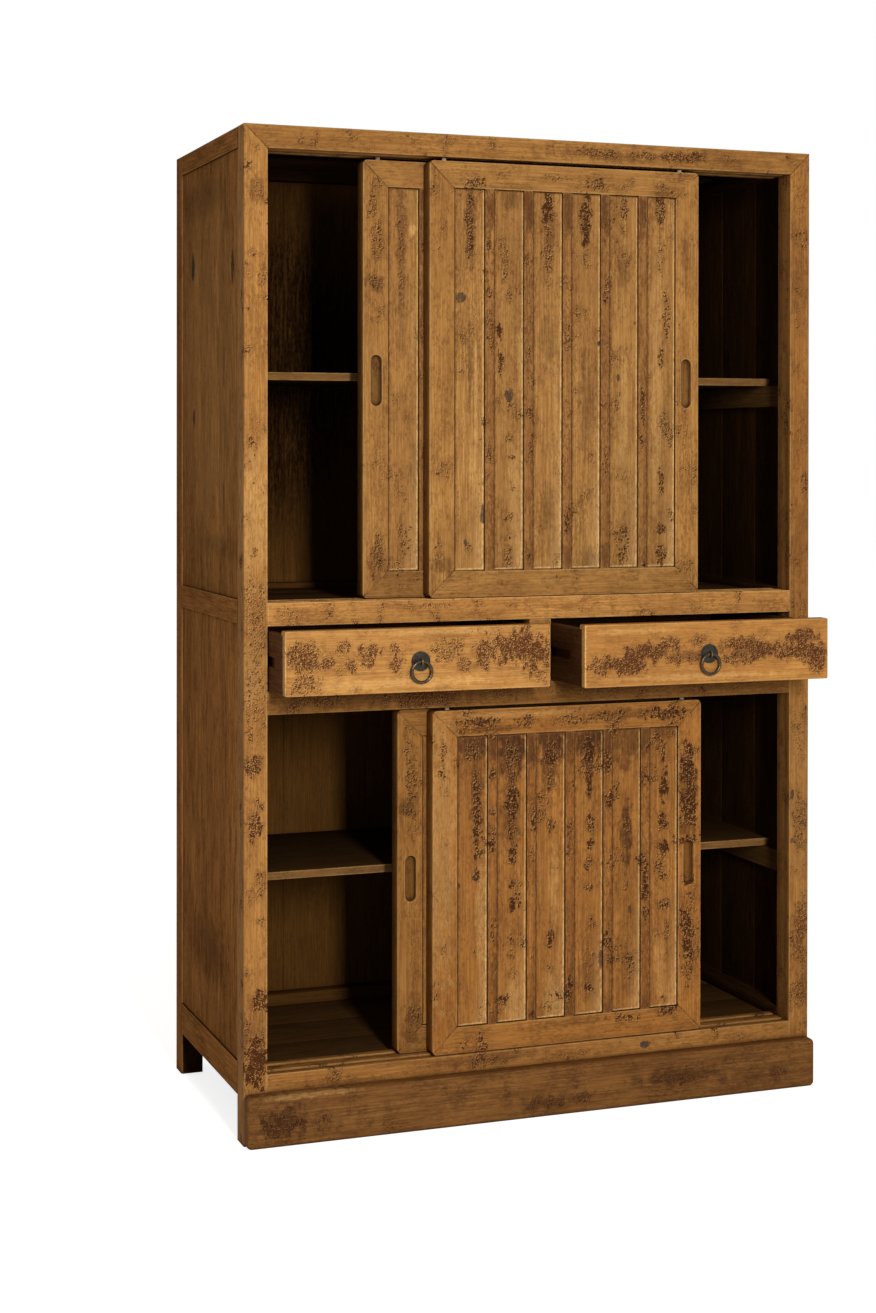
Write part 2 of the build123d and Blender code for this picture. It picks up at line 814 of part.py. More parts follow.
def pull_plate(centre, face):
    """The round back plate with the eye that the ring hangs in."""
    plate = Rot(90, 0, 0) * Cylinder(plate_radius, plate_thickness)
    plate = Pos(centre, front_y + face - plate_thickness / 2, pull_height) * plate
    rim = plate.faces().sort_by(Axis.Y)[0].edges()
    plate = chamfer(rim, plate_bevel)
    eye = Rot(0, 90, 0) * Cylinder(eye_radius, eye_thickness)
    hole = Rot(0, 90, 0) * Cylinder(eye_hole_radius, eye_thickness)
    pivot = Pos(centre, front_y + face - eye_standoff, pull_height)
    neck_length = eye_standoff - eye_hole_radius
    neck = Pos(centre, front_y + face - neck_length / 2, pull_height)
    shank = neck * (Rot(90, 0, 0) * Cylinder(eye_shank_radius, neck_length))
    return plate + (pivot * eye + shank) - pivot * hole


def pull_ring(centre, face):
    """The ring, hanging from the eye with its wire through the eye's hole."""
    ring = Rot(90, 0, 0) * Torus(ring_radius, ring_wire_radius)
    return Pos(centre, front_y + face - eye_standoff, pull_height - ring_radius) * ring


def drawer(name, centre, pulled):
    """The six named nodes of one drawer, pulled out by the given distance."""
    face = drawer_inset - pulled
    return {
        name + "_front": [drawer_front(centre, face)],
        name + "_sides": [drawer_side(centre, face, side) for side in (-1, 1)],
        name + "_back": [drawer_back(centre, face)],
        name + "_bottom": [drawer_bottom(centre, face)],
        name + "_pull_plate": [pull_plate(centre, face)],
        name + "_pull_ring": [pull_ring(centre, face)],
    }


def drawers():
    pieces = drawer("left_drawer", -drawer_middle, left_drawer_pulled)
    pieces.update(drawer("right_drawer", drawer_middle, right_drawer_pulled))
    return pieces


# ------------------------------------------------------------------------- write out

def cabinet():
    pieces = {}
    for make in (posts, front_rails, side_and_back_rails, boards, shelves_and_plinth,
                 drawer_guides, doors, drawers):
        pieces.update(make())
    return pieces


os.makedirs("parts", exist_ok=True)
for name, solids in cabinet().items():
    save(name, solids)
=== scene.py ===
"""The looks of a tall two-tier kitchen cabinet in worn, stained pine.

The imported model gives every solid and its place. Each wooden solid is replaced by a copy
with eased arrises, the pulls are modelled anew, and every surface gets a procedural finish.
"""

import json
import logging
import math
from dataclasses import dataclass, replace
from enum import Enum
from typing import Sequence, Union

import bpy
from mathutils import Matrix, Vector

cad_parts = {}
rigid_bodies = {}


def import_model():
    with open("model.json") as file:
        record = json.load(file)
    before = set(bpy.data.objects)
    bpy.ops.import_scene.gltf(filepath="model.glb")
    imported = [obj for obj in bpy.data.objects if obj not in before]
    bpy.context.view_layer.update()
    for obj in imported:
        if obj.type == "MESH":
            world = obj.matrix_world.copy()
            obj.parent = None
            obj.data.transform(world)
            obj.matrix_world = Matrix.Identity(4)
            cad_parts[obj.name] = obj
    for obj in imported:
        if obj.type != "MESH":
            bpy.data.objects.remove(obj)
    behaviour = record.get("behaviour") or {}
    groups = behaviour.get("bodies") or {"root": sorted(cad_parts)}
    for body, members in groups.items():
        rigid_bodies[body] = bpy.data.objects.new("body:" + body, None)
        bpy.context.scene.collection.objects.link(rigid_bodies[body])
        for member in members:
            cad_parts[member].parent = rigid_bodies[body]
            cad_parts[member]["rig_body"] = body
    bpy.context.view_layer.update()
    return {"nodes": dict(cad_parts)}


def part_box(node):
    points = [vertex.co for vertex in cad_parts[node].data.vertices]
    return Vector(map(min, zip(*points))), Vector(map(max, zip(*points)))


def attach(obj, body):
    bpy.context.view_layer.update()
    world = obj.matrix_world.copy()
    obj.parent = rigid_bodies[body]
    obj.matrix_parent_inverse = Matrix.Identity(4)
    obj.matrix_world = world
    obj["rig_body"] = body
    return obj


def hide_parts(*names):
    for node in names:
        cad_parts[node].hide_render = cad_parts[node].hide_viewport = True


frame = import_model()

log = logging.getLogger("cabinet")

Colour = tuple[float, float, float, float]
Triple = tuple[float, float, float]
Span = tuple[float, float]
Relief = tuple[float, float]
Piece = bpy.types.Object
Socket = bpy.types.NodeSocket
Tree = bpy.types.NodeTree
Value = Union[float, Triple, Colour, Socket]

THOUSAND = 1000.0
RAY_SAMPLES = 6
GROUP_VECTORS = ("Place", "Centre", "Reach")


# ------------------------------------------------------------------- options and marks

class Grain(Enum):
    """The direction in which the fibres of a piece run."""

    ACROSS = "x"
    DEEP = "y"
    UPRIGHT = "z"


GRAIN_ORDER = {Grain.UPRIGHT: (0, 1, 2), Grain.ACROSS: (2, 1, 0), Grain.DEEP: (2, 0, 1)}


class Side(Enum):
    """The face of the cabinet that a mark lies on."""

    FRONT = "front"
    LEFT = "left"


class Shown(Enum):
    """The faces of a piece that keep their full colour; the others get painted shade."""

    ALL = "all"
    FRONT = "front"
    OUTER = "outer"


@dataclass(frozen=True)
class Mark:
    """One placed patch of stain, speckle or knot on a piece.

    across and up are shares of the piece's box, from its left and from its foot, and
    wide and tall are the patch's half sizes in metres.
    """

    across: float
    up: float
    wide: float
    tall: float
    strength: float = 1.0


@dataclass(frozen=True)
class Ageing:
    """The marks placed one by one on one piece or on one set of like pieces."""

    stains: tuple[Mark, ...] = ()
    speckles: tuple[Mark, ...] = ()
    knots: tuple[Mark, ...] = ()
    pale: tuple[Mark, ...] = ()
    uneven: float = 1.25
    depth: float = 0.03


@dataclass(frozen=True)
class DoorLayout:
    """Where the boards and muntins of a door lie."""

    width: float = 0.510
    frame: float = 0.045
    muntin: float = 0.016
    boards: int = 6

    def board(self, number: float) -> float:
        """The share of the door's width at the middle of a board, counted from 1 at the left.

        Args:
            number: The board's number; half a number more is the muntin to its right.

        Returns:
            The share.
        """
        pitch = (self.width - 2 * self.frame + self.muntin) / self.boards
        return (self.frame + (number - 1) * pitch + (pitch - self.muntin) / 2) / self.width


LAYOUT = DoorLayout()
Row = tuple[float, ...]


def marks(*rows: Row) -> tuple[Mark, ...]:
    """Place marks on a piece.

    Args:
        rows: For each mark, its place across and up in thousandths of the piece's box, its
            half width and half height in millimetres, and its strength where that isn't 1.

    Returns:
        The marks.
    """
    return tuple(Mark(*(number / THOUSAND for number in row[:4]), *row[4:]) for row in rows)


def on_boards(*rows: Row) -> tuple[Mark, ...]:
    """Place marks in the middle of a door's boards or muntins.

    Args:
        rows: As for marks, but each begins with the number of the board from the left.
            Half a number more is the muntin to its right.

    Returns:
        The marks.
    """
    return tuple(Mark(LAYOUT.board(row[0]), *(number / THOUSAND for number in row[1:4]), *row[4:])
                 for row in rows)


UPPER_BOARDS = Ageing(
    stains=on_boards(
        (1, 860, 11, 75, 0.75), (1, 510, 3, 85, 0.7), (2, 920, 20, 20, 0.55), (3, 600, 18, 55, 0.4),
        (4, 880, 10, 45, 0.65), (5, 760, 14, 30, 0.5), (3, 860, 14, 50, 0.45), (4, 450, 16, 100, 0.35),
        (3, 200, 16, 50, 0.35), (4.1, 70, 16, 35, 0.55)),
    speckles=on_boards(
        (1, 850, 10, 80), (1.1, 630, 10, 25, 0.7), (1, 110, 10, 18, 0.8), (1.9, 770, 9, 45, 0.85),
        (2, 700, 10, 16, 0.9), (1.75, 610, 6, 20, 1.3), (1.8, 540, 7, 22, 1.2), (2, 365, 10, 10, 0.9),
        (2, 320, 12, 6, 0.9), (2, 180, 11, 14, 0.9), (2, 90, 14, 30, 0.9), (3, 900, 14, 35, 1.2),
        (3, 850, 12, 16), (3, 790, 15, 35, 0.9), (3, 730, 13, 14, 0.7), (3.2, 290, 8, 12, 0.7),
        (3.2, 80, 12, 20, 0.7), (4, 880, 12, 55, 1.3), (4, 790, 12, 28, 0.8), (5, 910, 12, 35, 0.95),
        (5, 860, 10, 18, 0.8), (5, 800, 9, 12, 0.9), (5, 270, 8, 12, 0.8), (5, 150, 9, 12),
        (5, 90, 14, 26), (6, 910, 13, 40, 1.1), (6, 800, 13, 40, 0.75), (6.15, 660, 8, 50),
        (6, 560, 9, 25, 0.9), (6.1, 400, 12, 30, 0.9), (6, 260, 8, 30, 1.1), (6, 150, 12, 12, 1.1),
        (6, 90, 12, 26, 1.1)),
    knots=on_boards(
        (0.75, 690, 9, 10), (2, 465, 9, 13), (1.35, 190, 7, 16), (0.9, 125, 3, 7),
        (4.35, 590, 4, 5, 1.2), (4.85, 510, 4, 7)),
    pale=on_boards(
        (1.15, 480, 3, 110, 0.6), (2.3, 560, 8, 70, 0.35), (1.1, 290, 9, 60, 0.35),
        (3.2, 450, 4, 80, 0.4), (5, 400, 10, 120, 0.3), (2.1, 250, 10, 80, 0.3),
        (5.9, 500, 14, 220, 0.35)))

UPPER_FRAME = Ageing(
    stains=marks(
        (50, 70, 20, 16, 0.6), (860, 950, 16, 8, 0.5), (950, 800, 10, 60, 0.4),
        (300, 950, 50, 8, 0.3)),
    speckles=marks(
        (160, 955, 22, 14), (260, 975, 20, 8, 0.7), (450, 975, 40, 8, 0.8), (610, 965, 30, 12),
        (730, 970, 16, 10, 0.8), (850, 965, 16, 10, 0.8), (940, 60, 24, 18, 0.8),
        (460, 35, 30, 8, 0.6), (950, 360, 12, 60, 0.6)))

LOWER_BOARDS = Ageing(
    stains=on_boards(
        (1, 920, 40, 50, 1.0), (1.1, 750, 14, 90, 0.7), (2, 900, 34, 60, 1.15), (2, 730, 18, 90, 0.7),
        (3, 910, 34, 50, 1.05), (3, 830, 18, 60, 0.7), (4, 910, 32, 46, 1.1), (4, 800, 10, 50, 1.0),
        (5, 900, 34, 60, 0.7), (5, 610, 12, 60, 0.95), (6, 930, 34, 26, 0.6), (4, 180, 22, 45, 0.4),
        (5, 250, 20, 90, 0.3)),
    speckles=on_boards(
        (1.1, 710, 10, 110, 1.1), (1.1, 510, 9, 13, 1.2), (1, 880, 18, 26), (2, 860, 16, 38),
        (2, 740, 15, 50, 1.2), (2, 637, 12, 30, 0.9), (2, 570, 12, 20, 1.2), (2, 485, 11, 10, 1.1),
        (2, 420, 9, 16, 1.3), (2, 270, 8, 12, 0.8), (2, 215, 10, 11, 0.8), (3, 860, 15, 36, 1.1),
        (3, 785, 9, 30, 0.9), (3, 653, 11, 18, 1.1), (3, 315, 10, 18, 1.1), (3, 220, 9, 10, 0.9),
        (4, 870, 14, 34, 1.2), (4, 785, 6, 28, 1.2), (4.05, 653, 11, 20, 1.1),
        (4.05, 586, 10, 11, 1.2), (4, 525, 12, 16), (4, 455, 11, 8), (4.1, 345, 13, 14, 0.9),
        (4, 150, 12, 13, 1.2), (4, 220, 18, 60, 0.6), (5, 630, 10, 24, 0.9), (5, 450, 8, 13, 0.8),
        (6, 833, 6, 11, 1.2), (6, 746, 12, 36, 1.2), (6, 640, 13, 20, 1.2), (6, 563, 13, 14, 1.3),
        (6, 472, 11, 9, 1.1), (6, 388, 14, 12, 1.1), (6.1, 304, 10, 20, 0.8), (6, 100, 9, 7)),
    knots=on_boards((0.6, 486, 6, 6, 1.2), (5.1, 380, 4, 9), (4.33, 235, 5, 20), (1.05, 505, 4, 5)),
    pale=on_boards(
        (1.2, 400, 10, 110, 0.4), (3.1, 470, 10, 80, 0.35), (2, 120, 14, 50, 0.4),
        (3, 120, 14, 60, 0.4), (5.9, 200, 10, 80, 0.3)))

LOWER_FRAME = Ageing(
    stains=marks(
        (720, 970, 110, 12, 0.55), (950, 750, 20, 75, 0.8), (220, 945, 70, 6, 0.7),
        (950, 620, 18, 16, 0.7), (500, 55, 100, 8, 0.45)),
    pale=marks((30, 620, 30, 260, 0.4), (300, 985, 160, 6, 0.4)),
    speckles=marks(
        (170, 965, 44, 12, 1.1), (340, 965, 30, 11), (500, 960, 50, 12, 0.8), (650, 970, 40, 12, 0.9),
        (860, 965, 60, 14, 1.1), (720, 50, 30, 10, 0.9), (870, 65, 30, 12, 1.1), (40, 310, 9, 22, 0.7),
        (950, 640, 18, 16, 1.2), (950, 575, 18, 10, 1.2), (950, 455, 20, 14), (950, 280, 18, 90, 1.1),
        (950, 800, 20, 60, 1.2), (950, 700, 20, 40, 1.2), (40, 880, 12, 40, 0.5)))

DOOR_MUNTINS = Ageing(
    stains=marks((500, 900, 260, 45, 0.75), (500, 90, 200, 20, 0.45)),
    speckles=on_boards(
        (1.5, 810, 8, 14, 1.1), (1.5, 700, 7, 10), (1.5, 620, 8, 45, 0.9), (1.5, 330, 6, 22),
        (2.5, 560, 7, 20, 0.8), (2.5, 90, 7, 13), (3.5, 600, 7, 40, 0.9), (3.5, 170, 8, 24, 1.1),
        (4.5, 700, 7, 14), (4.5, 300, 7, 30, 0.9), (5.5, 450, 8, 45, 1.1), (5.5, 360, 7, 20)))

REAR_FRAME = Ageing(
    speckles=marks(
        (50, 820, 16, 50, 0.9), (40, 720, 14, 18, 0.9), (30, 900, 12, 30, 0.9), (60, 660, 14, 30, 0.7),
        (60, 100, 16, 40, 0.9), (50, 950, 18, 14, 0.8), (60, 300, 16, 70, 0.5)),
    stains=marks((40, 720, 20, 18, 0.7), (50, 70, 16, 30, 0.5)))

REAR_BOARDS = Ageing(
    stains=on_boards((0.95, 840, 10, 100, 0.5), (0.95, 660, 8, 90, 0.35), (1.3, 300, 12, 60, 0.3)),
    speckles=on_boards(
        (0.95, 860, 9, 70, 0.9), (0.95, 720, 7, 60, 0.8), (1, 120, 14, 50, 0.8),
        (1.2, 400, 12, 80, 0.5)),
    pale=on_boards((1.22, 845, 6, 10, 0.7), (1.25, 600, 4, 60, 0.35)))

LEFT_DRAWER = Ageing(
    stains=marks(
        (600, 870, 40, 10, 0.4), (700, 370, 20, 8, 0.45), (100, 500, 20, 12, 0.45),
        (900, 600, 40, 20, 0.35)),
    speckles=marks(
        (70, 570, 34, 32, 1.1), (70, 200, 32, 26, 1.0), (200, 600, 70, 14, 0.7),
        (800, 700, 80, 16, 0.8), (150, 500, 16, 12, 1.1), (220, 730, 14, 12), (240, 430, 13, 13, 1.1),
        (320, 670, 30, 14, 1.1), (310, 470, 15, 12, 1.1), (410, 430, 16, 15, 1.1), (400, 680, 12, 12),
        (600, 660, 40, 26, 0.95), (660, 420, 18, 15), (750, 550, 22, 28, 1.1), (870, 640, 60, 34, 1.2),
        (940, 540, 32, 40, 1.2), (960, 200, 24, 18, 0.9)),
    pale=marks((0, 500, 1.8, 80, 0.9), (450, 160, 160, 8, 0.4), (600, 930, 140, 5, 0.35)))

RIGHT_DRAWER = Ageing(
    stains=marks(
        (160, 360, 50, 14, 0.75), (260, 550, 50, 12, 0.8), (420, 460, 50, 10, 0.55),
        (680, 520, 70, 14, 0.7), (880, 470, 60, 14, 0.7), (900, 660, 30, 10, 0.6)),
    speckles=marks(
        (70, 360, 34, 22, 1.0), (160, 360, 52, 22, 1.2), (230, 530, 50, 22, 1.2),
        (330, 650, 40, 15, 1.1), (370, 400, 30, 12, 1.0), (440, 420, 26, 11, 1.0),
        (460, 680, 26, 13, 1.0), (630, 620, 40, 17, 1.1), (630, 400, 52, 14, 1.1),
        (720, 500, 50, 18, 1.2), (880, 470, 72, 20, 1.15), (890, 730, 36, 14, 1.2),
        (960, 300, 22, 22, 1.2), (950, 140, 18, 14, 0.9)),
    pale=marks((0, 500, 2.2, 80, 1.3), (450, 120, 180, 6, 0.4), (200, 880, 90, 5, 0.35)))

LEFT_POST = Ageing(
    stains=marks((500, 938, 14, 30, 0.45), (500, 100, 24, 60, 0.45)),
    pale=marks((500, 620, 30, 140, 0.35), (500, 470, 30, 60, 0.25)),
    speckles=marks(
        (500, 938, 14, 30, 0.7), (400, 874, 14, 10, 0.8), (800, 850, 10, 22, 0.8),
        (500, 701, 14, 40, 0.6), (500, 515, 26, 120, 0.8), (500, 440, 26, 90, 0.75),
        (400, 375, 18, 20, 1.1), (400, 312, 18, 24, 1.1), (700, 264, 12, 15), (700, 220, 11, 12, 0.9),
        (700, 145, 20, 22, 1.2), (500, 85, 24, 50, 1.3)))

RIGHT_POST = Ageing(
    stains=marks(
        (500, 300, 22, 120, 0.2), (500, 580, 22, 50, 0.3), (500, 860, 22, 60, 0.3),
        (700, 120, 22, 80, 0.2)),
    pale=marks((500, 300, 22, 200, 0.2)),
    speckles=marks(
        (600, 955, 18, 16, 0.7), (500, 830, 16, 50, 0.6), (600, 700, 20, 70, 0.6),
        (700, 500, 16, 50, 0.8), (500, 380, 20, 70, 0.7), (600, 280, 20, 80, 0.9),
        (600, 170, 22, 70, 1.0), (500, 100, 22, 30, 0.9)),
    knots=marks((150, 312, 4, 10), (150, 262, 4, 6)))

# The two broad dark marks on the inside of the back, laid as stains, are painted shadows.
BACK_BOARD_SHADOWS = Ageing(
    stains=marks((100, 770, 300, 360, 1.0), (750, 600, 400, 800, 1.2)),
    uneven=0.08, depth=0.005)

PLINTH = Ageing(
    stains=marks(
        (60, 450, 50, 26, 0.5), (500, 300, 70, 14, 0.4), (740, 550, 90, 14, 0.5),
        (880, 400, 50, 20, 0.3)),
    speckles=marks(
        (60, 450, 50, 30, 1.0), (130, 350, 30, 20, 0.8), (200, 250, 20, 12, 0.7),
        (500, 300, 50, 14, 0.9), (560, 300, 30, 12, 0.9), (740, 500, 60, 14, 0.9),
        (930, 350, 30, 18, 0.8)),
    pale=marks((100, 975, 80, 6, 0.4)))

DRAWER_SILL = Ageing(
    speckles=marks(
        (100, 500, 60, 16), (280, 500, 90, 18, 1.1), (440, 500, 50, 16, 0.8), (620, 500, 90, 12, 0.7),
        (900, 500, 60, 14, 0.7)),
    stains=marks((250, 500, 200, 18, 0.45), (700, 700, 220, 10, 0.35)))

UPPER_SILL = Ageing(
    speckles=marks(
        (50, 500, 30, 14, 0.7), (300, 700, 40, 6, 0.8), (550, 400, 20, 8, 0.5),
        (950, 400, 30, 12, 0.5)))

TOP_RAIL = Ageing(
    stains=marks((620, 400, 120, 10, 0.35), (830, 500, 80, 12, 0.3)),
    speckles=marks(
        (340, 700, 20, 8, 0.7), (600, 500, 50, 10), (680, 500, 40, 10), (760, 500, 50, 12, 1.1),
        (840, 500, 30, 10, 0.8), (970, 500, 20, 14, 0.6)))

BOTTOM_RAIL = Ageing(
    stains=marks((400, 700, 120, 10, 0.5), (150, 300, 60, 10, 0.4)),
    speckles=marks(
        (120, 500, 30, 10, 0.8), (400, 600, 50, 10, 0.8), (560, 500, 40, 10, 0.7),
        (880, 500, 30, 10, 0.7)),
    knots=marks((700, 600, 10, 5, 1.2)))

LEFT_SIDE = Ageing(
    stains=marks(
        (700, 955, 180, 35, 0.45), (360, 780, 6, 60, 0.7), (260, 760, 4, 40, 0.8),
        (260, 615, 5, 40, 0.8), (550, 100, 160, 60, 0.45), (300, 560, 180, 20, 0.35)),
    pale=marks((500, 760, 300, 360, 0.24)),
    knots=marks((798, 881, 12, 26, 1.2), (779, 705, 10, 16, 1.1), (120, 870, 10, 30)))


# --------------------------------------------------------------------------- finishes

@dataclass(frozen=True)
class WoodFinish:
    """The colours, grain and wear of one kind of timber surface."""

    name: str
    slot: str
    light: Colour
    deep: Colour
    brown: Colour = (0.150, 0.056, 0.016, 1.0)
    stain: Colour = (0.062, 0.024, 0.011, 1.0)
    speck: Colour = (0.050, 0.015, 0.006, 1.0)
    flake: Colour = (0.66, 0.38, 0.13, 1.0)
    worn: Colour = (0.62, 0.37, 0.14, 1.0)
    knot: Colour = (0.060, 0.046, 0.038, 1.0)
    seam: Colour = (0.070, 0.025, 0.008, 1.0)
    line_pitch: float = 105.0
    figure: float = 10.0
    line_strength: float = 0.34
    mottling: float = 0.48
    freckling: float = 0.50
    board_change: float = 0.16
    speckle: float = 0.75
    speckle_size: float = 270.0
    flaking: float = 0.40
    staining: float = 0.45
    wear: float = 0.8
    wear_reach: float = 0.0045
    # The next two lay the seam colour where corners close in: grime and painted shade.
    dirt: float = 0.85
    dirt_and_shade_reach: float = 0.010
    roughness: float = 0.60
    gloss: float = 0.02
    tint: float = 1.0
    # Faces that shown leaves out are darkened by the next factor, as painted shade.
    shown: Shown = Shown.ALL
    hidden_face_shade: float = 0.25
    # The next factor paints shade on what lies deep in grooves and finger slots.
    recess_shade: float = 1.0
    # Faces looking along outward are made lighter by the second factor; the other faces keep painted shade.
    outward: Triple = (0.0, 1.0, 0.0)
    outer_unshaded_tint: float = 1.0
    # The next two set the painted shade in the corners of finger slots.
    slot_reach: float = 0.008
    slot_shade: float = 0.88
    # The next two paint highlights in the worn colour on bevels facing right or down, and shade on those
    # facing left or up.
    bevel_highlight: float = 0.0
    bevel_shade: float = 0.0
    bevel_reach: float = 0.0045
    halo: float = 0.62

    def tinted(self, tint: float, redness: float = 0.0) -> "WoodFinish":
        """The same finish, lighter or darker by one factor, and redder.

        Args:
            tint: The factor.
            redness: The share of green and blue that is taken away.

        Returns:
            The changed finish.
        """
        light, deep = (
            (colour[0], colour[1] * (1.0 - redness), colour[2] * (1.0 - 2.0 * redness), 1.0)
            for colour in (self.light, self.deep))
        return replace(self, tint=self.tint * tint, light=light, deep=deep)


@dataclass(frozen=True)
class IronFinish:
    """Forged iron with a patina that is rubbed through on its high places, and painted glints."""

    name: str
    slot: str
    base: Colour
    rubbed: Colour
    rust: Colour
    roughness: float = 0.20
    metal: float = 0.10
    # The share of painted glints: pale spots of the rubbed colour.
    painted_glint: float = 0.25
    gloss: float = 0.25
    sheen: Colour = (1.0, 0.80, 0.55, 1.0)
    wear_reach: float = 0.0012
    dirt: float = 0.6
    dirt_and_shade_reach: float = 0.004
    rust_roughness: float = 0.18
    relief: Relief = (0.35, 0.0004)


FRONT_WOOD = WoodFinish("front wood", "carcass_wood", (0.50, 0.245, 0.066, 1.0), (0.27, 0.112, 0.028, 1.0),
                        speckle=1.1, speck=(0.070, 0.020, 0.007, 1.0), speckle_size=300.0)
PLINTH_WOOD = replace(FRONT_WOOD, name="plinth wood", light=(0.30, 0.132, 0.036, 1.0),
                      deep=(0.130, 0.050, 0.014, 1.0), brown=(0.075, 0.029, 0.010, 1.0),
                      stain=(0.030, 0.012, 0.006, 1.0), worn=(0.48, 0.29, 0.11, 1.0), flaking=0.08,
                      speck=(0.050, 0.016, 0.007, 1.0), speckle=0.7)
# The inner faces of the side boards get painted shade.
SIDE_WOOD = WoodFinish("side wood", "side_wood", (0.58, 0.250, 0.072, 1.0), (0.21, 0.078, 0.020, 1.0),
                       brown=(0.100, 0.034, 0.009, 1.0), worn=(0.50, 0.24, 0.07, 1.0), line_pitch=30.0,
                       figure=12.0, line_strength=0.50, mottling=0.55, freckling=0.4, speckle=0.15, gloss=0.0,
                       shown=Shown.OUTER, hidden_face_shade=0.10)
FRAME_WOOD = WoodFinish("door frame wood", "door_frame_wood", (0.51, 0.255, 0.070, 1.0),
                        (0.29, 0.124, 0.032, 1.0), recess_shade=0.60, dirt=0.55)
DRAWER_FRONT_WOOD = replace(FRAME_WOOD, name="drawer front wood", mottling=0.30, freckling=0.25,
                            speck=(0.090, 0.027, 0.010, 1.0), speckle_size=320.0, recess_shade=1.0)
BOARD_WOOD = WoodFinish("door board wood", "door_board_wood", (0.50, 0.255, 0.072, 1.0),
                        (0.26, 0.114, 0.032, 1.0), speckle=0.8, dirt=0.60, dirt_and_shade_reach=0.006,
                        bevel_highlight=1.0, bevel_shade=0.85, worn=(0.82, 0.50, 0.20, 1.0),
                        seam=(0.120, 0.044, 0.011, 1.0))
MUNTIN_WOOD = WoodFinish("muntin wood", "muntin_wood", (0.47, 0.230, 0.066, 1.0),
                         (0.25, 0.104, 0.030, 1.0), speckle=0.9, dirt=0.65, dirt_and_shade_reach=0.007, bevel_shade=0.8,
                         mottling=0.7, freckling=0.8, worn=(0.66, 0.40, 0.16, 1.0),
                         seam=(0.120, 0.044, 0.011, 1.0))
# The interior woods are dark partly in their own colour and partly as painted shade; the outer faces of the
# back and top are made lighter again. The back's stain colour is also that of its painted shadows.
BACK_WOOD = WoodFinish("back board wood", "interior_wood", (0.150, 0.065, 0.014, 1.0),
                       (0.072, 0.030, 0.007, 1.0), brown=(0.045, 0.018, 0.005, 1.0),
                       stain=(0.012, 0.005, 0.0018, 1.0), wear=0.0, speckle=0.0, line_pitch=60.0,
                       line_strength=0.2, mottling=0.30, freckling=0.25, staining=0.2,
                       roughness=0.8, gloss=0.0, outer_unshaded_tint=2.4)
INNER_WOOD = replace(BACK_WOOD, name="inner wood", light=(0.130, 0.062, 0.018, 1.0),
                     deep=(0.055, 0.024, 0.008, 1.0), line_pitch=90.0, line_strength=0.5,
                     outer_unshaded_tint=1.0)
TOP_WOOD = replace(INNER_WOOD, name="top wood", outward=(0.0, 0.0, 1.0), outer_unshaded_tint=2.6)
# Only the shelves' front edges keep full colour; their other faces get painted shade.
SHELF_WOOD = WoodFinish("shelf wood", "interior_wood", (0.28, 0.140, 0.045, 1.0),
                        (0.17, 0.078, 0.023, 1.0), brown=(0.110, 0.050, 0.018, 1.0), speckle=0.3,
                        roughness=0.7, gloss=0.0, shown=Shown.FRONT, hidden_face_shade=0.23)
DRAWER_WOOD = WoodFinish("drawer wood", "drawer_inner_wood", (0.170, 0.068, 0.020, 1.0),
                         (0.070, 0.026, 0.009, 1.0), brown=(0.045, 0.017, 0.007, 1.0),
                         worn=(0.30, 0.15, 0.07, 1.0), line_pitch=60.0, line_strength=0.6,
                         speckle=0.2, gloss=0.03)
PIN_WOOD = WoodFinish("pin wood", "pin_wood", (0.78, 0.66, 0.46, 1.0), (0.60, 0.46, 0.28, 1.0),
                      speckle=0.0, staining=0.0, freckling=0.1, mottling=0.1, dirt=0.4,
                      board_change=0.05, gloss=0.0)
RING_IRON = IronFinish("ring iron", "ring_iron", (0.012, 0.007, 0.004, 1.0), (0.20, 0.12, 0.05, 1.0),
                       (0.030, 0.013, 0.006, 1.0), painted_glint=0.45, gloss=0.60)
PLATE_IRON = IronFinish("plate iron", "plate_iron", (0.034, 0.034, 0.028, 1.0), (0.09, 0.075, 0.05, 1.0),
                        (0.016, 0.012, 0.009, 1.0), roughness=0.38, metal=0.0, gloss=0.12)
EYE_IRON = IronFinish("eye iron", "plate_iron", (0.14, 0.085, 0.035, 1.0), (0.62, 0.46, 0.24, 1.0),
                      (0.050, 0.028, 0.014, 1.0), roughness=0.25, metal=0.5, painted_glint=0.6)


# --------------------------------------------------------------------------- patterns

@dataclass(frozen=True)
class Pattern:
    """A noise, with the step that makes a mask of it.

    stretch is its bumps per metre in each direction, detail the number of its finer
    layers, roughness their strength, and distortion how far it is pulled about.
    """

    stretch: Triple
    detail: float = 2.0
    roughness: float = 0.5
    step: Span = (0.0, 1.0)
    distortion: float = 0.0


SWIRL = Pattern((7.0, 7.0, 0.8))
WAVER = Pattern((45.0, 45.0, 5.0))
LINE_PATCHES = Pattern((16.0, 16.0, 2.6), step=(0.34, 0.66))
FIBRES = Pattern((430.0, 430.0, 13.0), 3.0, 0.66, (0.34, 0.66))
TONE = Pattern((6.0, 6.0, 1.4), 3.0, step=(0.30, 0.70))
GRIT = Pattern((330.0, 330.0, 95.0), 3.0, 0.7, (0.38, 0.60))
BLOTCHES = Pattern((40.0, 40.0, 13.0), 5.0, 0.68, (0.42, 0.64))
FRECKLES = Pattern((260.0, 260.0, 120.0), 3.0, 0.72, (0.50, 0.60))
FRECKLE_PATCHES = Pattern((24.0, 24.0, 12.0), 3.0, 0.6, (0.36, 0.60))
SPECK_CLUSTERS = Pattern((0.10, 0.10, 0.075), 3.0, 0.6, (0.48, 0.70))
CRUMBS = Pattern((1.0, 1.0, 0.85), 2.5, 0.72, distortion=1.4)
RUBBING = Pattern((30.0, 30.0, 30.0), 3.0, 0.6, (0.25, 0.60))
RAGGED_EDGES = Pattern((75.0, 75.0, 48.0), 3.0, 0.65)
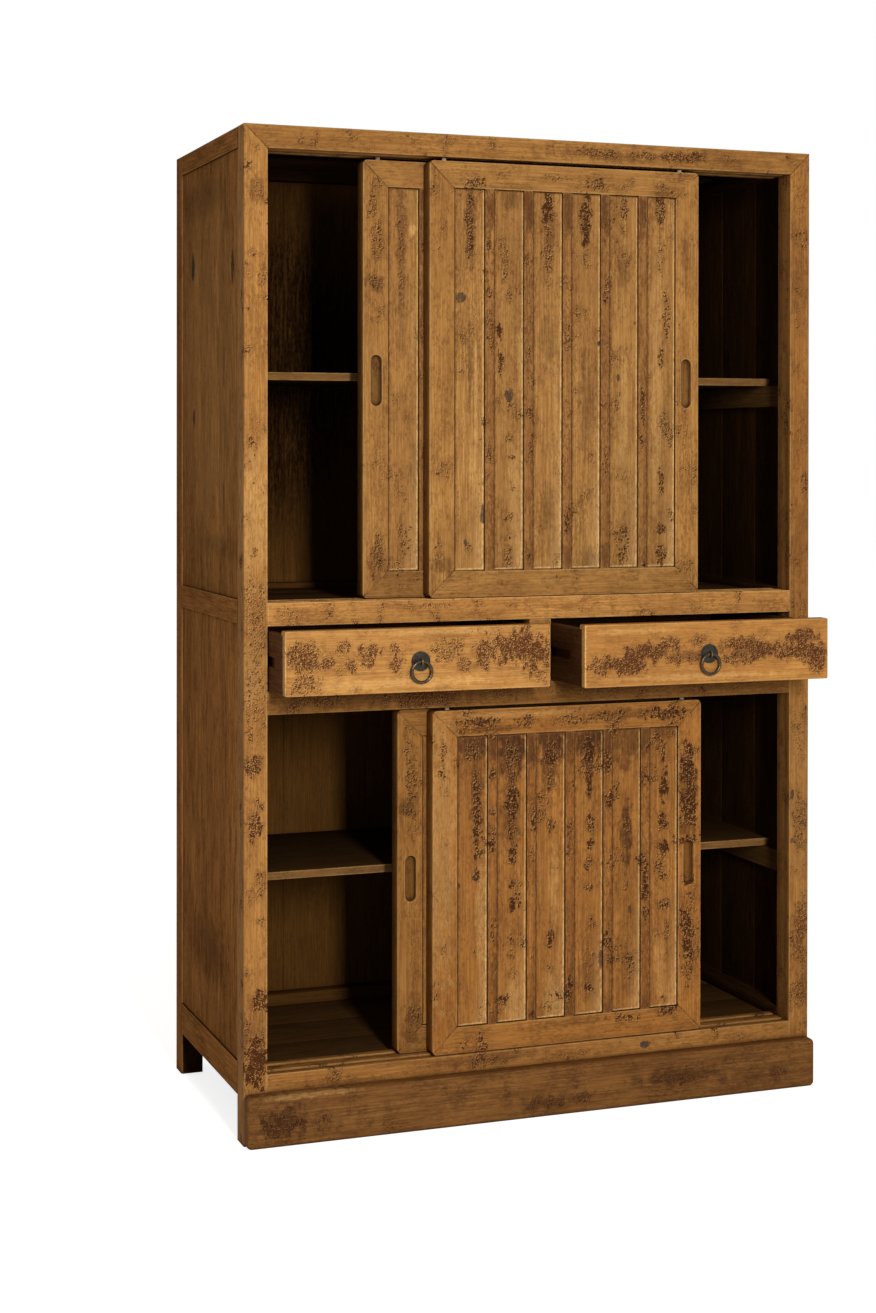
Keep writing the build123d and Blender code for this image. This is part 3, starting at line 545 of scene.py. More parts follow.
MITRE_GAPS = Pattern((60.0, 60.0, 60.0), step=(0.35, 0.60))
SOFT_STAINS = Pattern((16.0, 16.0, 4.0), 4.0, 0.65, (0.50, 0.78))
STAIN_STREAKS = Pattern((210.0, 210.0, 16.0), 3.0, step=(0.30, 0.60))
RUST = Pattern((180.0, 180.0, 180.0), 4.0, 0.65, (0.42, 0.66))
# Hammer marks for the relief, and the spots of painted glint on the iron.
HAMMER_BLOWS_AND_GLINTS = Pattern((330.0, 330.0, 330.0), step=(0.58, 0.72))


# ------------------------------------------------------------------------ node helpers

class NodeSheet:
    """Puts down and joins the nodes of one material or one node group."""

    def __init__(self, tree: Tree) -> None:
        """Keep the tree that the nodes go into."""
        self.tree = tree

    def put(self, kind: str, *inputs: Value, **settings: object) -> bpy.types.Node:
        """Add a node.

        Args:
            kind: The node's type name, without ShaderNode before it.
            inputs: Its first inputs, in order, each a value or another node's output.
            settings: Properties of the node to set.

        Returns:
            The new node.
        """
        node = self.tree.nodes.new(kind if kind.startswith("NodeGroup") else "ShaderNode" + kind)
        for name, setting in settings.items():
            setattr(node, name, setting)
        for socket, value in zip(node.inputs, inputs):
            self.feed(socket, value)
        return node

    def feed(self, socket: Socket, value: Value) -> None:
        """Give an input a value, or join it to another node's output.

        Args:
            socket: The input.
            value: A number, vector, colour or output socket.
        """
        if isinstance(value, Socket):
            self.tree.links.new(value, socket)
        else:
            socket.default_value = value

    def math(self, operation: str, first: Value, second: Value = 0.0, clamp: bool = False) -> Socket:
        """Join two numbers by one operation.

        Args:
            operation: The Math node's operation.
            first: The first number.
            second: The second number.
            clamp: Whether the result is kept between 0 and 1.

        Returns:
            The result.
        """
        return self.put("Math", first, second, operation=operation, use_clamp=clamp).outputs[0]

    def times(self, first: Value, second: Value) -> Socket:
        """The product of two numbers."""
        return self.math("MULTIPLY", first, second)

    def plus(self, first: Value, second: Value) -> Socket:
        """The sum of two numbers."""
        return self.math("ADD", first, second)

    def minus(self, first: Value, second: Value) -> Socket:
        """The first number less the second."""
        return self.math("SUBTRACT", first, second)

    def most(self, first: Value, second: Value) -> Socket:
        """The greater of two numbers."""
        return self.math("MAXIMUM", first, second)

    def rest(self, share: Value) -> Socket:
        """What a share leaves of 1."""
        return self.minus(1.0, share)

    def lifted(self, share: Value, floor: float) -> Socket:
        """A share from 0 to 1, brought to run from a floor to 1."""
        return self.plus(floor, self.times(share, 1.0 - floor))

    def vector(self, operation: str, first: Value, second: Value) -> Socket:
        """Join two vectors by one operation.

        Args:
            operation: The Vector Math node's operation.
            first: The first vector.
            second: The second vector.

        Returns:
            The result, which is a number for DOT_PRODUCT.
        """
        node = self.put("VectorMath", first, second, operation=operation)
        return node.outputs["Value" if operation == "DOT_PRODUCT" else "Vector"]

    def split(self, vector: Value) -> Sequence[Socket]:
        """The three parts of a vector."""
        return self.put("SeparateXYZ", vector).outputs

    def noise(self, place: Value, pattern: Pattern) -> Socket:
        """Smooth noise.

        Args:
            place: The position to read it at.
            pattern: Its scale and character.

        Returns:
            The noise, mostly between 0.2 and 0.8.
        """
        node = self.put("TexNoise")
        self.feed(node.inputs["Vector"], self.vector("MULTIPLY", place, pattern.stretch))
        node.inputs["Scale"].default_value = 1.0
        node.inputs["Detail"].default_value = pattern.detail
        node.inputs["Roughness"].default_value = pattern.roughness
        node.inputs["Distortion"].default_value = pattern.distortion
        return node.outputs[0]

    def ramp(self, value: Value, step: Sequence[Value]) -> Socket:
        """A smooth step.

        Args:
            value: The number to read.
            step: Where it begins, at 0, and where it ends, at 1.

        Returns:
            A number from 0 to 1.
        """
        return self.put("MapRange", value, *step, interpolation_type="SMOOTHSTEP").outputs[0]

    def mask(self, place: Value, pattern: Pattern) -> Socket:
        """A noise made a mask by its own step."""
        return self.ramp(self.noise(place, pattern), pattern.step)

    def mix(self, share: Value, first: Value, second: Value, blend: str = "MIX") -> Socket:
        """Mix two colours.

        Args:
            share: The share of the second colour.
            first: The first colour.
            second: The second colour.
            blend: How the two are joined.

        Returns:
            The mixed colour.
        """
        node = self.put("Mix", data_type="RGBA", blend_type=blend)
        self.feed(node.inputs["Factor"], share)
        self.feed(node.inputs[6], first)
        self.feed(node.inputs[7], second)
        return node.outputs[2]

    def lay(self, under: Value, over: Value, mask: Value, share: float) -> Socket:
        """Lay one colour over another.

        Args:
            under: The colour below.
            over: The colour on top.
            mask: Where it lies.
            share: How much of it shows there.

        Returns:
            The mixed colour.
        """
        return self.mix(self.times(mask, share), under, over)

    def openness(self, reach: Value) -> Socket:
        """How open a place is to what lies within reach.

        Args:
            reach: The reach in metres.

        Returns:
            1 in the open, and less in corners.
        """
        nook = self.put("AmbientOcclusion", samples=RAY_SAMPLES)
        self.feed(nook.inputs["Distance"], reach)
        return nook.outputs["AO"]

    def call(self, group: Tree, **inputs: Value) -> Sequence[Socket]:
        """Place a node group.

        Args:
            group: The group.
            inputs: Its inputs by name, with underscores for spaces.

        Returns:
            The group's outputs.
        """
        node = self.put("Group", node_tree=group)
        for name, value in inputs.items():
            self.feed(node.inputs[name.replace("_", " ")], value)
        return node.outputs

    def bump(self, shader: bpy.types.Node, height: Value, relief: Relief) -> None:
        """Give a shader a fine relief.

        Args:
            shader: The shader.
            height: The relief's height, in its own units.
            relief: The relief's strength and its depth in metres.
        """
        node = self.put("Bump")
        node.inputs["Strength"].default_value, node.inputs["Distance"].default_value = relief
        self.feed(node.inputs["Height"], height)
        self.feed(shader.inputs["Normal"], node.outputs[0])


def open_group(name: str, inputs: str, outputs: str) -> tuple[NodeSheet, Sequence[Socket], Sequence[Socket]]:
    """Start a shader node group.

    Args:
        name: The group's name.
        inputs: The inputs' names, joined by commas. Place, Centre and Reach are vectors.
        outputs: The outputs' names, joined by commas.

    Returns:
        The group's sheet, the sockets that its inputs come from and those of its outputs.
    """
    tree = bpy.data.node_groups.new(name, "ShaderNodeTree")
    for side, labels in (("INPUT", inputs), ("OUTPUT", outputs)):
        for label in labels.split(", "):
            kind = "Vector" if label in GROUP_VECTORS else "Float"
            tree.interface.new_socket(label, in_out=side, socket_type="NodeSocket" + kind)
    sheet = NodeSheet(tree)
    return sheet, sheet.put("NodeGroupInput").outputs, sheet.put("NodeGroupOutput").inputs


class Effects:
    """The shared node groups, each built once."""

    line_slant: float = 0.6
    line_waver: float = 2.6
    knot_pull: float = 3.0
    line_rise: Span = (0.25, 0.85)
    line_fall: Span = (0.90, 1.0)
    grit_floor: float = 0.25
    freckle_floor: float = 0.20
    field_step: Span = (0.10, 0.44)
    bare_level: float = 0.76
    level_drop: float = 0.290
    speck_edge: float = 0.05
    flake_edge: float = 0.08
    flake_shift: Triple = (0.35, 0.0, -0.45)
    flake_step: Span = (0.1, 0.6)
    mark_edge: Span = (0.50, 1.25)
    arris_turn: Span = (0.01, 0.12)
    corner_step: Span = (0.10, 0.85)

    def __init__(self) -> None:
        """Build every group."""
        self.figure = self.wood_figure()
        self.freckles = self.freckle()
        self.specks = self.speckle()
        self.mark = self.placed_mark()
        self.rubbed = self.edge_wear()
        self.grime_and_shade = self.crevice_dirt_and_shade()

    def wood_figure(self) -> Tree:
        """Growth lines, fibres and slow changes of tone, with the grain along local Z.

        Returns:
            The group.
        """
        sheet, source, result = open_group("wood figure", "Place, Line Pitch, Figure, Knots",
                                           "Lines, Fibres, Tone, Blotches, Grit")
        place = source["Place"]
        across, deep, _ = sheet.split(place)
        slant = sheet.plus(across, sheet.times(deep, self.line_slant))
        phase = sheet.times(sheet.noise(place, SWIRL), source["Figure"])
        for pull in (sheet.times(slant, source["Line Pitch"]),
                     sheet.times(sheet.noise(place, WAVER), self.line_waver),
                     sheet.times(source["Knots"], self.knot_pull)):
            phase = sheet.plus(phase, pull)
        saw = sheet.math("FRACT", phase)
        lines = sheet.times(sheet.ramp(saw, self.line_rise), sheet.rest(sheet.ramp(saw, self.line_fall)))
        uneven = sheet.lifted(sheet.mask(place, GRIT), self.grit_floor)
        sheet.feed(result["Lines"], sheet.times(lines, sheet.mask(place, LINE_PATCHES)))
        sheet.feed(result["Fibres"], sheet.noise(place, FIBRES))
        sheet.feed(result["Tone"], sheet.noise(place, TONE))
        sheet.feed(result["Blotches"], sheet.times(sheet.mask(place, BLOTCHES), uneven))
        sheet.feed(result["Grit"], uneven)
        return sheet.tree

    def freckle(self) -> Tree:
        """Small brown freckles and short dashes, thicker in some places than in others.

        Returns:
            The group.
        """
        sheet, source, result = open_group("freckle", "Place", "Freckles")
        place = source["Place"]
        share = sheet.lifted(sheet.mask(place, FRECKLE_PATCHES), self.freckle_floor)
        sheet.feed(result["Freckles"], sheet.times(sheet.mask(place, FRECKLES), share))
        return sheet.tree

    def speckle(self) -> Tree:
        """Crumbly dark specks in clusters, the pale flakes between them and the stain around them.

        Returns:
            The group.
        """
        sheet, source, result = open_group("speckle", "Place, Size, Amount, Field", "Specks, Flakes, Halo")
        scaled = sheet.put("VectorMath", source["Place"], operation="SCALE")
        sheet.feed(scaled.inputs["Scale"], source["Size"])
        place = scaled.outputs["Vector"]
        clusters = sheet.noise(place, SPECK_CLUSTERS)
        chance = sheet.most(
            sheet.times(sheet.ramp(clusters, SPECK_CLUSTERS.step), source["Amount"]),
            sheet.times(source["Field"], sheet.ramp(clusters, self.field_step)))
        level = sheet.minus(self.bare_level, sheet.times(chance, self.level_drop))
        specks = sheet.ramp(sheet.noise(place, CRUMBS), (level, sheet.plus(level, self.speck_edge)))
        beside = sheet.noise(sheet.vector("ADD", place, self.flake_shift), CRUMBS)
        flakes = sheet.ramp(beside, (level, sheet.plus(level, self.flake_edge)))
        flakes = sheet.times(flakes, sheet.rest(specks))
        sheet.feed(result["Specks"], specks)
        sheet.feed(result["Flakes"], sheet.times(flakes, sheet.ramp(chance, self.flake_step)))
        sheet.feed(result["Halo"], chance)
        return sheet.tree

    def placed_mark(self) -> Tree:
        """A soft-edged, uneven patch at a given place.

        Returns:
            The group.
        """
        sheet, source, result = open_group("placed mark", "Place, Centre, Reach, Strength, Uneven", "Field")
        from_centre = sheet.vector("SUBTRACT", source["Place"], source["Centre"])
        share = sheet.vector("DIVIDE", from_centre, source["Reach"])
        length = sheet.put("VectorMath", share, operation="LENGTH").outputs["Value"]
        inside = sheet.rest(sheet.ramp(sheet.plus(length, source["Uneven"]), self.mark_edge))
        sheet.feed(result["Field"], sheet.times(inside, source["Strength"]))
        return sheet.tree

    def edge_wear(self) -> Tree:
        """Where hands and cloths have rubbed the arrises.

        Returns:
            The group.
        """
        sheet, source, result = open_group("edge wear", "Place, Width", "Wear")
        rounded = sheet.put("Bevel", source["Width"], samples=RAY_SAMPLES).outputs[0]
        sharp = sheet.put("NewGeometry").outputs["Normal"]
        edge = sheet.ramp(sheet.rest(sheet.vector("DOT_PRODUCT", rounded, sharp)), self.arris_turn)
        sheet.feed(result["Wear"], sheet.times(edge, sheet.mask(source["Place"], RUBBING)))
        return sheet.tree

    def crevice_dirt_and_shade(self) -> Tree:
        """Grime and painted shade that darken corners and the places under ledges.

        Returns:
            The group.
        """
        sheet, source, result = open_group("crevice dirt", "Width", "Dirt")
        closed = sheet.rest(sheet.openness(source["Width"]))
        sheet.feed(result["Dirt"], sheet.ramp(closed, self.corner_step))
        return sheet.tree


# --------------------------------------------------------------------------- materials

@dataclass(frozen=True)
class MarkedFace:
    """The marks of one piece, with the corners of the box that they refer to."""

    low: Vector = Vector((0.0, 0.0, 0.0))
    high: Vector = Vector((1.0, 1.0, 1.0))
    ageing: Ageing = Ageing()
    side: Side = Side.FRONT

    def centre(self, mark: Mark) -> Triple:
        """Find a mark's middle on the marked face.

        Args:
            mark: The mark.

        Returns:
            Its place in metres.
        """
        size = self.high - self.low
        up = self.low.z + mark.up * size.z
        if self.side is Side.FRONT:
            return (self.low.x + mark.across * size.x, self.low.y, up)
        return (self.low.x, self.low.y + mark.across * size.y, up)

    def reach(self, mark: Mark) -> Triple:
        """The mark's half sizes in metres, with its depth into the piece."""
        depth = self.ageing.depth
        return (mark.wide, depth, mark.tall) if self.side is Side.FRONT else (depth, mark.wide, mark.tall)


def new_material(name: str) -> tuple[bpy.types.Material, NodeSheet, bpy.types.Node]:
    """Start a material.

    Args:
        name: Its name.

    Returns:
        The material, its sheet and its shader.
    """
    material = bpy.data.materials.new(name)
    material.use_nodes = True
    return material, NodeSheet(material.node_tree), material.node_tree.nodes["Principled BSDF"]


class WoodMaterial:
    """Builds the material of one wood finish."""

    board_shift: Triple = (7.3, 3.1, 13.7)
    tone_share: float = 0.45
    fibre_share: float = 0.72
    speck_share: float = 0.92
    knot_share: float = 0.85
    knot_rim: Span = (0.10, 0.60)
    knot_heart: Span = (0.45, 1.30)
    # How far a bevel must face right or left to take its painted highlight or shade.
    bevel_right: Span = (0.06, 0.30)
    bevel_left: Span = (0.04, 0.34)
    mitre_reach: float = 0.046
    mitre_depth: float = 0.002
    mitre_band: Span = (0.0030, 0.0045)
    mitre_line: Span = (0.0006, 0.0018)
    mitre_dark: float = 0.60
    # The depths and the openness at which painted shade falls in recesses and finger slots.
    recess_depth: Span = (0.003, 0.0065)
    slot_depth: Span = (0.0012, 0.0020)
    slot_corner: Span = (0.92, 0.55)
    facing_out: Span = (0.4, 0.8)
    facing_unshaded: Span = (0.1, 0.5)
    top_height: float = 1.680
    stain_floor: float = 0.45
    stain_grit: float = 0.35
    stain_streak: float = 0.30
    speck_roughness: float = 0.25
    fibre_roughness: float = 0.10
    speck_height: float = -1.0
    fibre_height: float = 0.35
    line_height: float = -0.3
    relief: Relief = (0.40, 0.0006)

    def __init__(self, effects: Effects, finish: WoodFinish, grain: Grain,
                 face: MarkedFace = MarkedFace(), title: str = "",
                 mitre: tuple[Vector, Vector] | None = None) -> None:
        """Keep what the material is made from.

        Args:
            effects: The shared node groups.
            finish: The colours and wear.
            grain: The direction of the fibres.
            face: The face with the placed marks.
            title: The material's name, if it isn't the finish's.
            mitre: The box of the mitred frame that the piece is part of, if any.
        """
        self.effects = effects
        self.finish = finish
        self.grain = grain
        self.face = face
        self.mitre = mitre
        name = (title or finish.name) + " " + grain.name.lower()
        self.material, self.sheet, self.shader = new_material(name)
        coordinates = self.sheet.put("TexCoord").outputs
        self.place, self.normal = coordinates["Object"], coordinates["Normal"]
        self.chance = self.sheet.put("NewGeometry").outputs["Random Per Island"]
        ragged = face.ageing.uneven
        self.uneven = self.sheet.put("MapRange", self.sheet.noise(self.place, RAGGED_EDGES),
                                     0.0, 1.0, -ragged, ragged).outputs[0]

    def field_of(self, marks_here: Sequence[Mark]) -> Value:
        """The strongest of several placed marks at each point.

        Args:
            marks_here: The marks.

        Returns:
            The field, or 0 where there are none.
        """
        total: Value = 0.0
        for mark in marks_here:
            field = self.sheet.call(self.effects.mark, Place=self.place, Centre=self.face.centre(mark),
                                    Reach=self.face.reach(mark), Strength=mark.strength,
                                    Uneven=self.uneven)["Field"]
            total = self.sheet.most(total, field)
        return total

    def grain_place(self) -> Socket:
        """The position with the fibres turned along Z, and each board moved to its own timber.

        Returns:
            The position.
        """
        sheet = self.sheet
        parts = sheet.split(self.place)
        turned = sheet.put("CombineXYZ", *(parts[index] for index in GRAIN_ORDER[self.grain])).outputs[0]
        shift = sheet.put("CombineXYZ", *(sheet.times(self.chance, far) for far in self.board_shift))
        return sheet.vector("ADD", turned, shift.outputs[0])

    def build(self) -> bpy.types.Material:
        """Join the effects into one shader.

        Returns:
            The material.
        """
        sheet, finish, effects, ageing = self.sheet, self.finish, self.effects, self.face.ageing
        place = self.grain_place()
        knots = self.field_of(ageing.knots)
        figure = sheet.call(effects.figure, Place=place, Line_Pitch=finish.line_pitch,
                            Figure=finish.figure, Knots=knots)
        grit = figure["Grit"]
        fibres = sheet.ramp(figure["Fibres"], FIBRES.step)
        lines = sheet.times(figure["Lines"], finish.line_strength)
        freckles = sheet.call(effects.freckles, Place=place)["Freckles"]
        specks = sheet.call(effects.specks, Place=self.place, Size=finish.speckle_size,
                            Amount=finish.speckle, Field=self.field_of(ageing.speckles))
        colour = sheet.lay(finish.light, finish.deep, sheet.ramp(figure["Tone"], TONE.step),
                           self.tone_share)
        colour = sheet.mix(lines, colour, finish.deep)
        colour = sheet.lay(colour, finish.deep, fibres, self.fibre_share)
        colour = sheet.lay(colour, finish.brown, figure["Blotches"], finish.mottling)
        colour = sheet.lay(colour, finish.brown, freckles, finish.freckling)
        colour = sheet.mix(self.stain_share(place, grit), colour, finish.stain)
        colour = sheet.lay(colour, finish.brown, sheet.times(specks["Halo"], grit), finish.halo)
        pale = sheet.most(sheet.times(self.field_of(ageing.pale), grit),
                          sheet.times(specks["Flakes"], finish.flaking))
        colour = sheet.mix(pale, colour, finish.flake)
        band, hairline = self.mitre_lines()
        wear = sheet.call(effects.rubbed, Place=self.place, Width=finish.wear_reach)["Wear"]
        colour = sheet.lay(colour, finish.worn, sheet.times(wear, sheet.rest(band)), finish.wear)
        # Painted highlights and shade on the bevels, by the way they face.
        colour = self.painted_bevel_light(colour, grit)
        tint = self.tint_of_place()
        colour = sheet.mix(1.0, colour, sheet.put("CombineXYZ", tint, tint, tint).outputs[0], "MULTIPLY")
        colour = sheet.lay(colour, finish.speck, specks["Specks"], self.speck_share)
        knot_rim = sheet.times(sheet.ramp(knots, self.knot_rim), grit)
        colour = sheet.lay(colour, finish.stain, knot_rim, self.knot_share)
        colour = sheet.lay(colour, finish.knot, sheet.ramp(knots, self.knot_heart), self.knot_share)
        # Grime and painted shade in corners and seams, in the seam colour.
        dirt = sheet.call(effects.grime_and_shade, Width=finish.dirt_and_shade_reach)["Dirt"]
        colour = sheet.lay(colour, finish.seam, dirt, finish.dirt)
        colour = sheet.mix(hairline, colour, finish.seam)
        self.shade(colour, specks["Specks"], fibres, lines)
        return self.material

    def painted_bevel_light(self, colour: Socket, grit: Socket) -> Socket:
        """Paint highlights in the worn colour on the bevels that look right or down, and shade on those that
        look left or up.

        Args:
            colour: The colour so far.
            grit: Fine unevenness.

        Returns:
            The colour.
        """
        sheet, finish = self.sheet, self.finish
        if not finish.bevel_shade:
            return colour
        rounded = sheet.put("Bevel", finish.bevel_reach, samples=RAY_SAMPLES).outputs[0]
        across, _, up = sheet.split(rounded)
        lean = sheet.minus(across, up)
        right = sheet.times(sheet.ramp(lean, self.bevel_right), grit)
        left = sheet.times(sheet.ramp(sheet.times(lean, -1.0), self.bevel_left), grit)
        shaded_bevels = sheet.most(left, sheet.times(right, 1.0 - finish.bevel_highlight))
        colour = sheet.lay(colour, finish.brown, shaded_bevels, finish.bevel_shade)
        return sheet.lay(colour, finish.worn, right, finish.bevel_highlight)

    def mitre_lines(self) -> tuple[Value, Value]:
        """The unworn band and the dark hairline where a frame's corners are mitred.

        Returns:
            Their shares, each 0 for a piece in no mitred frame.
        """
        if self.mitre is None:
            return 0.0, 0.0
        sheet = self.sheet
        low, high = self.mitre
        x, y, z = sheet.split(self.place)
        across = sheet.math("MINIMUM", sheet.minus(x, low.x), sheet.minus(high.x, x))
        up = sheet.math("MINIMUM", sheet.minus(z, low.z), sheet.minus(high.z, z))
        off = sheet.math("ABSOLUTE", sheet.minus(across, up))
        front = sheet.math("LESS_THAN", y, low.y + self.mitre_depth)
        inside = sheet.times(front, sheet.math("LESS_THAN", across, self.mitre_reach))
        band = sheet.rest(sheet.ramp(off, self.mitre_band))
        patchy = sheet.times(sheet.mask(self.place, MITRE_GAPS), self.mitre_dark)
        hairline = sheet.times(sheet.rest(sheet.ramp(off, self.mitre_line)), patchy)
        return sheet.times(band, inside), sheet.times(hairline, inside)

    def in_recess(self, tint: Value) -> Socket:
        """Paint shade on what lies deep in a frame: the sides of grooves and the corners of the finger slots.

        Args:
            tint: The factor so far.

        Returns:
            The factor.
        """
        sheet, finish = self.sheet, self.finish
        depth = sheet.minus(sheet.split(self.place)[1], self.face.low.y)
        sunk = sheet.times(sheet.ramp(depth, self.recess_depth), 1.0 - finish.recess_shade)
        tint = sheet.times(tint, sheet.rest(sunk))
        corner = sheet.ramp(sheet.openness(finish.slot_reach), self.slot_corner)
        slot = sheet.times(corner, sheet.ramp(depth, self.slot_depth))
        return sheet.times(tint, sheet.rest(sheet.times(slot, finish.slot_shade)))

    def tint_of_place(self) -> Socket:
        """How light each board is, with painted shade in recesses and on faces turned inward, and outward
        faces made lighter.

        Returns:
            A factor for the colour.
        """
        sheet, finish = self.sheet, self.finish
        change = finish.board_change * finish.tint
        tint = sheet.plus(finish.tint - change / 2, sheet.times(self.chance, change))
        if finish.recess_shade < 1.0:
            tint = self.in_recess(tint)
        # Outward faces lighter than the inner ones, which keep painted shade.
        if finish.outer_unshaded_tint > 1.0:
            facing = sheet.ramp(sheet.vector("DOT_PRODUCT", self.normal, finish.outward), self.facing_out)
            tint = sheet.times(tint, sheet.plus(sheet.times(facing, finish.outer_unshaded_tint - 1.0), 1.0))
        # Painted shade on the faces turned away from the front or the outside.
        if finish.shown is Shown.ALL:
            return tint
        across, back, up = sheet.split(self.normal)
        if finish.shown is Shown.FRONT:
            seen = sheet.times(back, -1.0)
        else:
            x, _, z = sheet.split(self.place)
            seen = sheet.most(sheet.times(across, sheet.math("SIGN", x)), back)
            on_top = sheet.math("GREATER_THAN", z, self.top_height)
            seen = sheet.most(seen, sheet.times(up, on_top))
        return sheet.times(tint, sheet.lifted(sheet.ramp(seen, self.facing_unshaded), finish.hidden_face_shade))

    def stain_share(self, place: Socket, grit: Socket) -> Socket:
        """How much of the stain colour shows.

        Args:
            place: The position in the timber.
            grit: Fine unevenness.

        Returns:
            A share from 0 to 1.
        """
        sheet = self.sheet
        soft = sheet.times(sheet.mask(place, SOFT_STAINS), self.finish.staining)
        held = sheet.plus(self.stain_floor, sheet.times(grit, self.stain_grit))
        held = sheet.plus(held, sheet.times(sheet.mask(place, STAIN_STREAKS), self.stain_streak))
        placed = sheet.times(self.field_of(self.face.ageing.stains), held)
        return sheet.math("MAXIMUM", sheet.times(soft, grit), placed, clamp=True)

    def shade(self, colour: Socket, specks: Socket, fibres: Socket, lines: Socket) -> None:
        """Feed the shader.

        Args:
            colour: The surface colour.
            specks: Where the surface is pitted.
            fibres: The fine fibres.
            lines: The growth lines.
        """
        sheet, inputs = self.sheet, self.shader.inputs
        inputs["Specular IOR Level"].default_value = self.finish.gloss
        sheet.feed(inputs["Base Color"], colour)
        rough = sheet.plus(self.finish.roughness, sheet.times(specks, self.speck_roughness))
        rough = sheet.math("ADD", rough, sheet.times(fibres, self.fibre_roughness), clamp=True)
        sheet.feed(inputs["Roughness"], rough)
        height = sheet.plus(sheet.times(specks, self.speck_height), sheet.times(fibres, self.fibre_height))
        sheet.bump(self.shader, sheet.plus(height, sheet.times(lines, self.line_height)), self.relief)


def iron_material(effects: Effects, finish: IronFinish) -> bpy.types.Material:
    """Build the material of one iron finish.

    Args:
        effects: The shared node groups.
        finish: Its colours.

    Returns:
        The material.
    """
    material, sheet, shader = new_material(finish.name)
    place = sheet.put("TexCoord").outputs["Object"]
    rust = sheet.mask(place, RUST)
    blows_and_glints = sheet.noise(place, HAMMER_BLOWS_AND_GLINTS)
    wear = sheet.call(effects.rubbed, Place=place, Width=finish.wear_reach)["Wear"]
    colour = sheet.mix(wear, sheet.mix(rust, finish.base, finish.rust), finish.rubbed)
    # Painted glints: pale spots of the rubbed colour.
    colour = sheet.lay(colour, finish.rubbed, sheet.ramp(blows_and_glints, HAMMER_BLOWS_AND_GLINTS.step), finish.painted_glint)
    dirt = sheet.call(effects.grime_and_shade, Width=finish.dirt_and_shade_reach)["Dirt"]
    colour = sheet.lay(colour, finish.rust, dirt, finish.dirt)
    rough = sheet.plus(finish.roughness, sheet.times(rust, finish.rust_roughness))
    for name, value in (("Base Color", colour), ("Metallic", finish.metal), ("Roughness", rough),
                        ("Specular IOR Level", finish.gloss), ("Specular Tint", finish.sheen)):
        sheet.feed(shader.inputs[name], value)
    sheet.bump(shader, blows_and_glints, finish.relief)
    return material


# -------------------------------------------------------------------------- mesh tools

MERGE_REACH = 0.00001
FLAT_TURN = math.radians(0.5)


def deselect() -> None:
    """Leave nothing selected."""
    bpy.ops.object.select_all(action="DESELECT")


def hold(piece: Piece) -> None:
    """Make one object the only selected and the active one.

    Args:
        piece: The object.
    """
    deselect()
    piece.select_set(True)
    bpy.context.view_layer.objects.active = piece


def bevel_edges(piece: Piece, width: float, segments: int = 2, angle: float = 35.0) -> None:
    """Round a piece's arrises for good.

    Args:
        piece: The object.
        width: The width of the rounding in metres.
        segments: The number of facets across it.
        angle: The turn in degrees from which an edge is rounded.
    """
    hold(piece)
    easing = piece.modifiers.new("arris", "BEVEL")
    easing.width = width
    easing.segments = segments
    easing.limit_method = "ANGLE"
    easing.angle_limit = math.radians(angle)
    bpy.ops.object.modifier_apply(modifier=easing.name)


def finish_shading(piece: Piece, angle: float = 40.0) -> None:
    """Shade a piece smooth but for its sharp edges.

    Args:
        piece: The object.
        angle: The turn in degrees from which an edge stays sharp.
    """
    hold(piece)
    bpy.ops.object.shade_smooth_by_angle(angle=math.radians(angle))


def worn_copy(node: str, arris: float) -> Piece:
    """Copy a solid, merge it and ease its arrises, and let the copy stand for it.

    Args:
        node: The solid's name.
        arris: The width of the eased edges in metres.

    Returns:
        The copy.
    """
    source = frame["nodes"][node]
    piece = bpy.data.objects.new(node + "_worn", source.data.copy())
    bpy.context.scene.collection.objects.link(piece)
    piece.data.materials.clear()
    hold(piece)
    bpy.ops.object.mode_set(mode="EDIT")
    bpy.ops.mesh.select_all(action="SELECT")
    bpy.ops.mesh.remove_doubles(threshold=MERGE_REACH)
    bpy.ops.mesh.customdata_custom_splitnormals_clear()
    bpy.ops.mesh.dissolve_limited(angle_limit=FLAT_TURN)
    bpy.ops.object.mode_set(mode="OBJECT")
    if arris:
        bevel_edges(piece, arris)
    finish_shading(piece)
    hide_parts(node)
    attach(piece, source["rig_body"])
    return piece


def dress(piece: Piece, material: bpy.types.Material) -> None:
    """Give a piece its material.

    Args:
        piece: The object.
        material: The material.
    """
    piece.data.materials.clear()
    piece.data.materials.append(material)
    for face in piece.data.polygons:
        face.material_index = 0


def box_of(*nodes: str) -> tuple[Vector, Vector]:
    """The box that holds several solids.

    Args:
        nodes: Their names.

    Returns:
        Its lowest and its highest corner.
    """
    corners = [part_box(node) for node in nodes]
    low = Vector([min(low[axis] for low, _ in corners) for axis in range(3)])
    high = Vector([max(high[axis] for _, high in corners) for axis in range(3)])
    return low, high


# ----------------------------------------------------------------------------- carcass

# Each front rail with its tint and redness, and its marks.
# The drawer sill's low tint is partly painted shadow of the drawers above it.
FRONT_RAILS = (
    ("top_front_rail", (0.95, 0.02), TOP_RAIL), ("upper_sill_rail", (1.54, 0.0), UPPER_SILL),
    ("drawer_sill_rail", (0.66, 0.06), DRAWER_SILL), ("bottom_front_rail", (0.96, 0.06), BOTTOM_RAIL))


